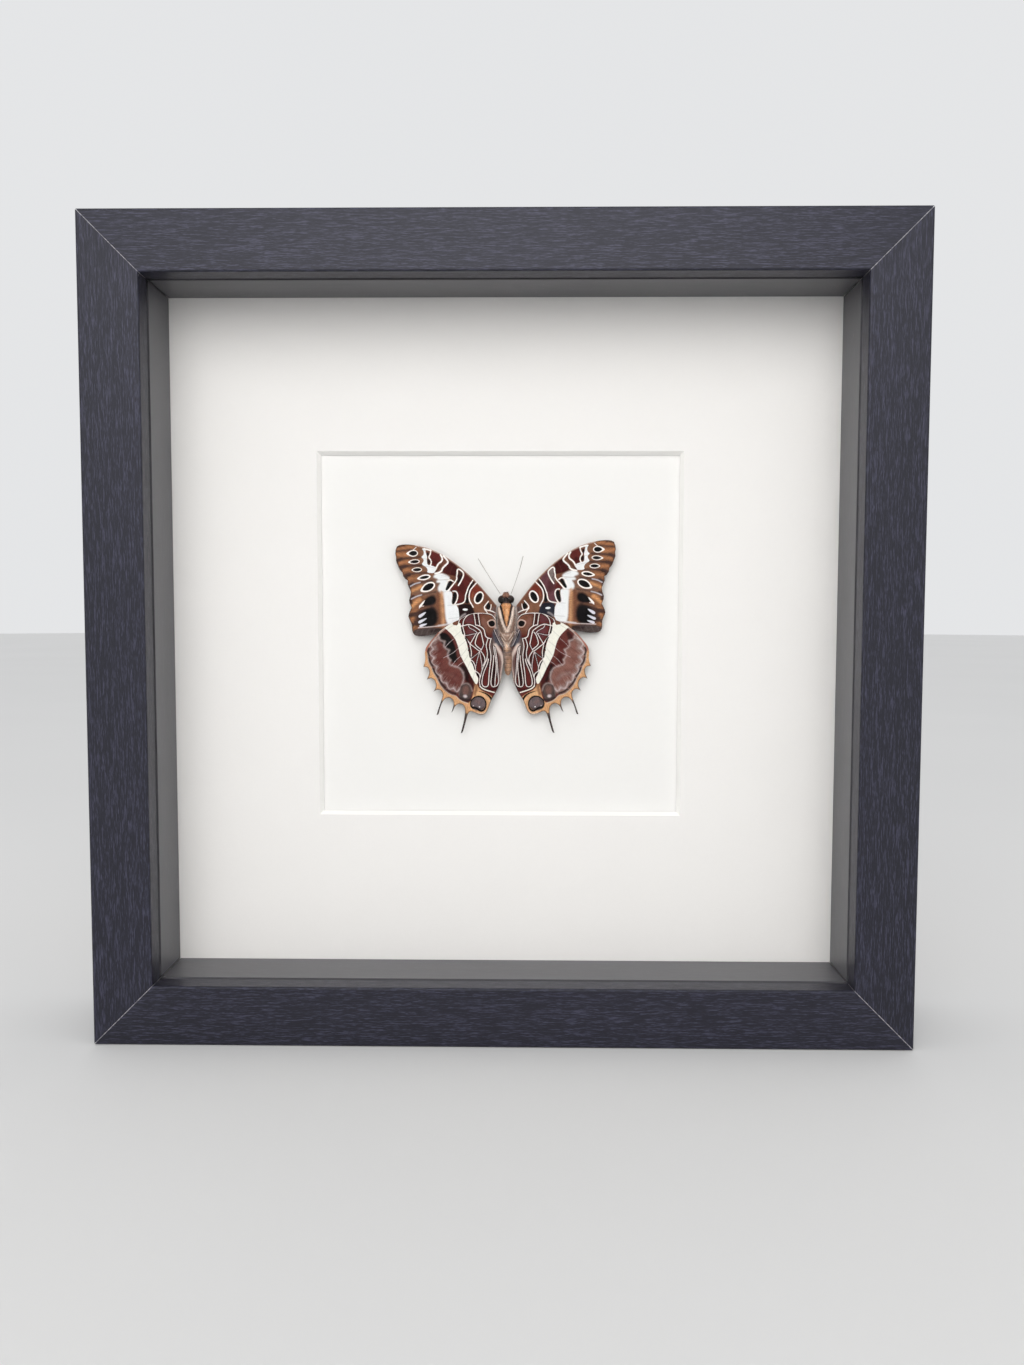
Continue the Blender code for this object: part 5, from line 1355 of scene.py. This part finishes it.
def paint_body(paint):
    """Abdomen with its rings, thorax with its arms and orange wedge with a painted highlight down its
    middle, and head.
    """
    wash, brush = paint.wash, paint.brush
    wash("abdomen", 1, [(-2.2, -4.6), (2.2, -4.6), (2.2, -14), (-2.2, -14)])
    wash("trunk_grey", 1, [(-1.8, -4.8), (-0.2, -5.2), (-0.1, -10), (-1.6, -12)], 0.85)
    wash("trunk_grey", 1.2, [(-0.4, -5.2), (1.6, -5.2), (1.6, -7), (-0.2, -7.4)], 0.5)
    wash("abdomen_pale", 0.9, [(0.2, -8), (1, -9.5), (0.9, -12.4), (0.2, -12)], 0.8)
    for k in range(ABDOMEN_RINGS):
        z = WAIST - k * SEGMENT
        brush("seam", 0.35, 0.12, [(-1.9, z + 0.1), (0, z - 0.12), (1.9, z + 0.1)], 0.8)
    brush("beige", 0.3, 0.2, [(-1.5, -6.2), (-1.3, -9.6), (-0.9, -12.4)], 0.6)
    brush("beige", 0.4, 0.4, [(-0.4, -12.7), (0.2, -12.9)], 0.6)
    wash("beige", 0.5, [(-1.1, -2.2), (0.8, -2.2), (0.6, -4), (-0.9, -4)], 0.6)
    brush("leg_dark", 0.7, 0.35, [(-1.8, -5), (0, -5.6), (1.9, -5)], 0.8)
    brush("seam", 0.3, 0.14, [(-1.6, -4.5), (0, -4.9), (1.8, -4.4)], 0.8)
    brush("umber", 0.8, 0.5, [(-3.4, 9.6), (-3.2, 6.4), (-2.2, 3), (-1.4, 1.4)], 0.75)
    brush("umber", 0.8, 0.4, [(3.2, 8.6), (2.8, 5.4), (2.2, 2.6), (1.7, 1.4)], 0.5)
    brush("beige", 0.3, 0.75, [(-3, 9.4), (-2.7, 7.6), (-2.1, 5.9), (-1.4, 3.9), (-0.8, 2.5), (-0.2, 1.3)],
        0.95)
    brush("beige", 0.4, 0.9, [(2.4, 9.6), (2.15, 7.8), (1.65, 5.9), (1.15, 3.9), (0.7, 2.5), (0.2, 1.3)],
        0.95)
    brush("seam", 0.2, 0.12, [(-3, 7), (-2.6, 5.7), (-1.95, 3.9), (-1.35, 2.4), (-0.8, 1.4)], 0.9)
    brush("seam", 0.2, 0.1, [(2.75, 7.6), (2.25, 5.7), (1.75, 3.9), (1.35, 2.4), (0.9, 1.4)], 0.7)
    wash("umber", 0.2, [(-2.8, 9.8), (-2.2, 10.2), (1.75, 10.2), (1.9, 9.6), (1.5, 7.6), (1, 5.8),
        (0.45, 3.9), (-0.1, 2), (-0.8, 4.2), (-1.6, 6.2), (-2.3, 8)], 0.97)
    wash("orange", 0.25, [(-2, 10.2), (1.35, 10.2), (1.1, 8.6), (0.65, 6.4), (0.2, 4.2), (-0.15, 2.5),
        (-0.5, 4.2), (-0.95, 6.4), (-1.5, 8.4)])
    # Painted highlight: a brighter orange down the middle of the wedge, on the crest of the rounded thorax.
    wash("bright_orange", 0.6, [(-0.5, 8.4), (0.3, 8.4), (0.2, 6.4), (-0.1, 3.4), (-0.3, 6)], 0.95)
    brush("bright_orange", 0.5, 0.3, [(-1, 9.8), (0, 9.5), (0.8, 9.8)], 0.5)
    brush("seam", 0.25, 0.08, [(-0.9, 9.2), (-0.6, 8), (-0.3, 7)], 0.45)
    for z, strength in ((0.75, 0.95), (-0.9, 0.7), (-1.9, 0.7), (-2.7, 0.6)):
        brush("seam", 0.28, 0.1, [(-1.8, z + 0.45), (0, z), (1.9, z + 0.45)], strength)
    brush("beige", 0.4, 0.3, [(-1.2, 0.3), (0, -0.1), (1.2, 0.3)], 0.7)
    brush("bright_orange", 0.9, 0.5, [(-0.2, -2.8), (0.1, -4.4)], 0.5)
    wash("head", 0.5, [(-2.6, 10.2), (-2.8, 12.4), (-1.4, 14.2), (0.8, 14.2), (2.4, 12.6), (2.2, 10.2)])
    wash("umber", 0.4, [(-2.6, 10.3), (-2.6, 12), (0, 12.5), (2.4, 12), (2.2, 10.3)])
    brush("grey", 0.25, 0.08, [(-0.28, 10.5), (-0.3, 11.6)], 0.6)
    brush("beige", 0.5, 0.3, [(-0.9, 13.4), (-0.3, 13.9), (0.3, 13.4)], 0.5)


def on_front(co):
    """Places outwards and upwards as the front shows them, in millimetres."""
    return np.stack([(co[:, 0] - SPECIMEN_X) / MM, (co[:, 2] - SPECIMEN_Z) / MM], axis=1)


def world_place(vector):
    """A body point in millimetres, put in its place in the frame."""
    return BODY_PLACE @ (Vector(vector) * MM)


def body_finish():
    """Close short scales over the painted ground."""
    material, tree, shader = new_material("body_scales", 0.75)
    place = coordinates(tree)
    scales = place_group(tree, SCALE_DUST, Coordinates=stretched(tree, place, (1.0, 1.0, 0.45)),
                         Size=6500.0, Contrast=0.45)
    tuft = noise_value(tree, stretched(tree, place, (1.0, 1.0, 0.35)), 1600.0, 3.0, 0.6)
    shade = times(tree, scales["Shade"], ranged(tree, tuft, 0.3, 0.7, 0.8, 1.15))
    colour = shaded(tree, attribute(tree, "ground", "Color"), shade)
    height = plus(tree, tuft, times(tree, scales["Height"], 0.5))
    drive(tree, shader, Base_Color=colour, Normal=bump(tree, height, 0.6, 0.00008))
    return material


def eye_finish():
    """Dark faceted eye, with a painted brown highlight over its top."""
    material, tree, shader = new_material("faceted_eye", 0.28)
    place = coordinates(tree)
    facets = node(tree, "ShaderNodeTexVoronoi", {"Vector": place, "Scale": 9000.0, "Randomness": 0.15})
    stain = noise_value(tree, place, 900.0, 3.0, 0.6)
    rise = node(tree, "ShaderNodeSeparateXYZ", {"Vector": place}).outputs["Z"]
    # Painted highlight: the top of each eye is mixed towards a lighter brown, as light from above would
    # show it.
    top = ranged(tree, rise, SPECIMEN_Z + 11.6 * MM, SPECIMEN_Z + 12.9 * MM, 0.0, 0.6)
    colour = colour_mix(tree, ranged(tree, stain, 0.35, 0.7), tone(12, 7, 6), tone(30, 18, 15))
    colour = colour_mix(tree, top, colour, tone(84, 58, 48))
    drive(tree, shader, Base_Color=colour, Specular_IOR_Level=0.3,
          Normal=bump(tree, facets.outputs["Distance"], 0.35, 0.00004),
          Roughness=ranged(tree, stain, 0.3, 0.7, 0.22, 0.36, smooth=False))
    return material


def build_body():
    """Trunk with folded legs and palps in one skin, and the two eyes."""
    bm = bmesh.new()
    low, high = TRUNK_SECTIONS[0][0], TRUNK_SECTIONS[-1][0]
    places = []
    for height in np.linspace(low, high, int((high - low) / TRUNK_STEP)):
        half_width, half_depth, forward = trunk_measures(height)
        size = Matrix.Diagonal((half_width, half_depth, 1, 1))
        places.append(Matrix.Translation((0, -forward, height)) @ size)
    skin(bm, places, TRUNK_SIDES)
    limb_verts = {}
    for sign in (-1, 1):
        for stops, radii, tint in LIMBS.values():
            first = len(bm.verts)
            tube(bm, [trunk_point(sign * x, z, proud) for x, z, proud in flowing(stops, LIMB_STEPS)], radii)
            limb_verts[first] = (len(bm.verts), tint)
        first = len(bm.verts)
        tube(bm, [Vector((sign * x, -y, z)) for x, z, y in flowing(PALP[0], PALP_STEPS)], PALP[1])
        limb_verts[first] = (len(bm.verts), "head")
    bmesh.ops.recalc_face_normals(bm, faces=bm.faces)
    bmesh.ops.transform(bm, matrix=BODY_PLACE @ Matrix.Scale(MM, 4), verts=bm.verts)
    body = piece("body_scaled", bm, [body_finish()])
    co = mesh_places(body.data)
    paint = Painting(on_front(co), "trunk")
    paint_body(paint)
    behind = np.clip((co[:, 1] - BODY_MIDDLE.y) / MM, 0, 1)[:, None]
    ground = paint.ground * (1 - behind) + TONES["trunk_grey"] * behind
    for first, (last, tint) in limb_verts.items():
        ground[first:last] = ground[first:last] * 0.25 + TONES[tint] * 0.75
    store(body.data, "ground", "FLOAT_COLOR", ground)
    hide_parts("body")

    bm = bmesh.new()
    for sign in (-1, 1):
        place = Matrix.Translation((sign * EYE_PLACE[0], -EYE_PLACE[2], EYE_PLACE[1]))
        bmesh.ops.create_uvsphere(bm, u_segments=40, v_segments=28, radius=1.0,
                                  matrix=place @ Matrix.Diagonal((*EYE_SIZE, 1.0)))
    bmesh.ops.transform(bm, matrix=BODY_PLACE @ Matrix.Scale(MM, 4), verts=bm.verts)
    eyes = piece("eyes_faceted", bm, [eye_finish()])


# Hairs, as tapered bent spikes in one mesh for each coat

HAIR_SHARES = (0.0, 0.45, 0.8)
HAIR_WIDTHS = (1.0, 0.8, 0.45)
HAIR_RADIUS = 0.035
ROOT_HAIRS = 520
TUFT_HAIRS = 420


def hair_finish():
    """Hairs in the tone they carry, a little uneven."""
    material, tree, shader = new_material("hair", 0.55)
    drift = noise_value(tree, coordinates(tree), 2500.0, 2.0, 0.5)
    colour = shaded(tree, attribute(tree, "ground", "Color"), ranged(tree, drift, 0.3, 0.7, 0.82, 1.12))
    drive(tree, shader, Base_Color=colour, Roughness=ranged(tree, drift, 0.3, 0.7, 0.5, 0.65))
    return material


def build_hairs(name, roots, runs, droop, tints, material):
    """Hairs from root places along runs, both in millimetres in the frame, each bent by droop."""
    length = np.linalg.norm(runs, axis=1, keepdims=True)
    along = runs / length
    aside = np.cross(along, (0.0, 1.0, 0.0))
    aside /= np.maximum(np.linalg.norm(aside, axis=1, keepdims=True), 1e-6)
    third = np.cross(aside, along)
    rows = []
    for share, width in zip(HAIR_SHARES, HAIR_WIDTHS):
        centre = roots + runs * share + droop * share * share
        for k in range(3):
            turn = 2 * math.pi * k / 3
            corner = aside * math.cos(turn) + third * math.sin(turn)
            rows.append(centre + corner * HAIR_RADIUS * width)
    rows.append(roots + runs + droop)
    verts = np.stack(rows, axis=1).reshape(-1, 3) * MM
    faces = [(0, 1, 2)]
    for low in (0, 3):
        faces += [(low + k, low + 3 + k, low + 3 + (k + 1) % 3, low + (k + 1) % 3) for k in range(3)]
    faces += [(6 + k, 9, 6 + (k + 1) % 3) for k in range(3)]
    step = len(rows)
    joined = [tuple(corner + step * n for corner in face) for n in range(len(roots)) for face in faces]
    mesh = bpy.data.meshes.new(name)
    mesh.from_pydata(verts.tolist(), [], joined)
    bm = bmesh.new()
    bm.from_mesh(mesh)
    bmesh.ops.recalc_face_normals(bm, faces=bm.faces)
    coat = piece(name, bm, [material])
    store(coat.data, "ground", "FLOAT_COLOR", np.repeat(tints, step, axis=0))


def spread_tints(chance, tints, spread):
    """Each hair's own shade about the tint of the place it grows from."""
    return np.clip(tints * (1 + spread * (chance.random((len(tints), 1)) - 0.5)), 0, 1)


def trunk_coat(chance, count, low, high, length, lift, sweep):
    """Roots and runs of hairs that grow from the trunk and lie down along it."""
    roots, runs = [], []
    for height, turn in zip(chance.uniform(low, high, count), chance.uniform(-math.pi, math.pi, count)):
        half_width, half_depth, forward = trunk_measures(height)
        out = Vector((math.sin(turn), -math.cos(turn), 0))
        root = Vector((out.x * half_width, -forward + out.y * half_depth, height))
        run = (out * lift + Vector((out.x * sweep, 0, -1))).normalized()
        roots.append(world_place(root) / MM)
        runs.append(BODY_PLACE.to_3x3() @ (run * length * chance.uniform(0.6, 1.2)))
    return np.array(roots), np.array(runs)


def coat_tints(roots):
    """The painted trunk's tone at each hair's root."""
    paint = Painting(on_front(roots * MM), "trunk")
    paint_body(paint)
    return paint.ground


def build_coats():
    """Short hairs on thorax and abdomen, longer ones at the wing roots and on the head."""
    chance = np.random.default_rng(7)
    material = hair_finish()
    for name, count, low, high, length, lift, sweep in (
        ("thorax_hairs", 3200, -2.5, 9.6, 0.36, 0.16, 0.15),
        ("abdomen_hairs", 1600, -12.4, -2.8, 0.32, 0.10, 0.0),
    ):
        roots, runs = trunk_coat(chance, count, low, high, length, lift, sweep)
        tints = spread_tints(chance, coat_tints(roots), 0.5)
        build_hairs(name, roots, runs, np.array((0.0, 0.0, -0.12)), tints, material)

    count = ROOT_HAIRS
    side = chance.choice((-1, 1), count)
    height = chance.uniform(0.2, 9.4, count)
    out = 2.2 + chance.uniform(0, 0.8, count) * np.clip((height + 2) / 8, 0.3, 1)
    place = BODY_MIDDLE / MM
    back = 0.55 * (out - 2.3) - 1.1 + chance.uniform(-0.3, 0.3, count)
    roots = np.stack([place.x + side * out, place.y + back, place.z + height], axis=1)
    length = chance.uniform(0.4, 1.0, count)
    lean = chance.uniform(0.35, 1.0, count)
    runs = np.stack([side * length * lean, length * 0.10, -length * (1.15 - lean * 0.6)], axis=1)
    tints = np.tile(TONES["root_hair"], (count, 1))
    tints[chance.random(count) < 0.15] = TONES["trunk_grey"]
    build_hairs("wing_root_hairs", roots, runs, np.array((0.0, 0.1, -0.25)),
                spread_tints(chance, tints, 0.4), material)

    count = TUFT_HAIRS
    turn = chance.uniform(0, 2 * math.pi, count)
    reach = chance.uniform(0.2, 1.0, count)
    roots = np.array([
        world_place((0.75 * math.sin(a) * r, -1.2 - 0.5 * r * math.cos(a), 12.6 + 0.6 * r)) / MM
        for a, r in zip(turn, reach)])
    length = chance.uniform(0.4, 0.95, count)
    aside = chance.uniform(-0.35, 0.35, count)
    forward = chance.uniform(0.1, 0.6, count)
    runs = np.stack([length * aside, -length * forward, length], axis=1)
    tints = np.tile(TONES["head"], (count, 1))
    build_hairs("head_tuft", roots, runs, np.array((0.0, 0.05, -0.05)),
                spread_tints(chance, tints, 0.6), material)


def feeler_finish():
    """Fine pale rings along each feeler."""
    material, tree, shader = new_material("feeler", 0.5)
    place = coordinates(tree)
    rise = node(tree, "ShaderNodeSeparateXYZ", {"Vector": place}).outputs["Z"]
    wave = math_node(tree, "SINE", times(tree, rise, 2 * math.pi / FEELER_BAND))
    stain = noise_value(tree, place, 1200.0, 2.0, 0.5)
    colour = colour_mix(tree, ranged(tree, wave, -0.6, 0.6), tone(176, 171, 166), tone(204, 200, 196))
    colour = colour_mix(tree, ranged(tree, stain, 0.3, 0.7, 0.0, 0.4), colour, tone(160, 152, 146))
    drive(tree, shader, Base_Color=colour, Normal=bump(tree, wave, 0.2, 0.00003))
    return material


def build_feelers():
    """Hair-thin feelers with slightly thicker ends, along the solids' own paths."""
    material = feeler_finish()
    for name, stops in FEELERS.items():
        bm = bmesh.new()
        path = [BODY_MIDDLE + Vector((x, -y, z)) * MM for x, z, y in flowing(stops, FEELER_STEPS)]
        tube(bm, path, [radius * MM for radius in FEELER_RADII], 10)
        bmesh.ops.recalc_face_normals(bm, faces=bm.faces)
        feeler = piece(name + "_ringed", bm, [material])
        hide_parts(name)


# Studio

def aimed(place, target):
    """A turn that looks from a place at a target."""
    return (Vector(target) - Vector(place)).to_track_quat("-Z", "Y").to_euler()


def floor_finish():
    """Pale seamless floor."""
    material, tree, shader = new_material("studio_floor", 0.8)
    drift = noise_value(tree, coordinates(tree), 3.0, 2.0, 0.5)
    colour = colour_mix(tree, drift, (0.76, 0.757, 0.75, 1.0), (0.80, 0.797, 0.79, 1.0))
    drive(tree, shader, Base_Color=colour)
    return material


def build_sky():
    """An even overcast: bright overhead, pale behind the object, dimmer behind the camera."""
    world = bpy.data.worlds.new("overcast")
    world.use_nodes = True
    tree = world.node_tree
    toward = tree.nodes.new("ShaderNodeTexCoord").outputs["Generated"]
    parts = node(tree, "ShaderNodeSeparateXYZ", {"Vector": toward}).outputs
    low = ranged(tree, parts["Y"], -0.7, 0.5, SKY_BEHIND_CAMERA, SKY_BEHIND_OBJECT)
    share = ranged(tree, parts["Z"], 0.12, 0.80)
    level = plus(tree, times(tree, low, math_node(tree, "SUBTRACT", 1.0, share)),
                 times(tree, SKY_OVERHEAD, share))
    background = tree.nodes["Background"]
    background.inputs["Color"].default_value = (0.975, 0.985, 1.0, 1.0)
    tree.links.new(level, background.inputs["Strength"])
    bpy.context.scene.world = world


def build_studio():
    """Floor, one soft lamp, sky and camera."""
    scene = bpy.context.scene
    bm = bmesh.new()
    bmesh.ops.create_circle(bm, cap_ends=True, segments=96, radius=FLOOR_RADIUS,
                            matrix=Matrix.Translation((0, 0, -FLOOR_DROP)))
    mesh = bpy.data.meshes.new("studio_floor")
    bm.to_mesh(mesh)
    bm.free()
    mesh.materials.append(floor_finish())
    floor = bpy.data.objects.new("studio_floor", mesh)
    scene.collection.objects.link(floor)

    lamp = bpy.data.lights.new("soft_key", "AREA")
    lamp.shape = "DISK"
    lamp.size = KEY_SIZE
    lamp.energy = KEY_POWER
    lamp.color = (1.0, 0.985, 0.96)
    key = bpy.data.objects.new("soft_key", lamp)
    key.location = KEY_PLACE
    key.rotation_euler = aimed(KEY_PLACE, KEY_TARGET)
    scene.collection.objects.link(key)
    build_sky()

    lens = bpy.data.cameras.new("camera")
    lens.lens = LENS
    lens.sensor_width = 36
    lens.sensor_fit = "AUTO"
    lens.clip_start = 0.01
    camera = bpy.data.objects.new("camera", lens)
    camera.location = CAMERA_PLACE
    camera.rotation_euler = [math.radians(turn) for turn in CAMERA_TURN]
    scene.collection.objects.link(camera)
    scene.camera = camera
    scene.view_settings.view_transform = "Standard"


finish_frame()
build_mitres()
build_wings()
build_body()
build_coats()
build_feelers()
build_studio()
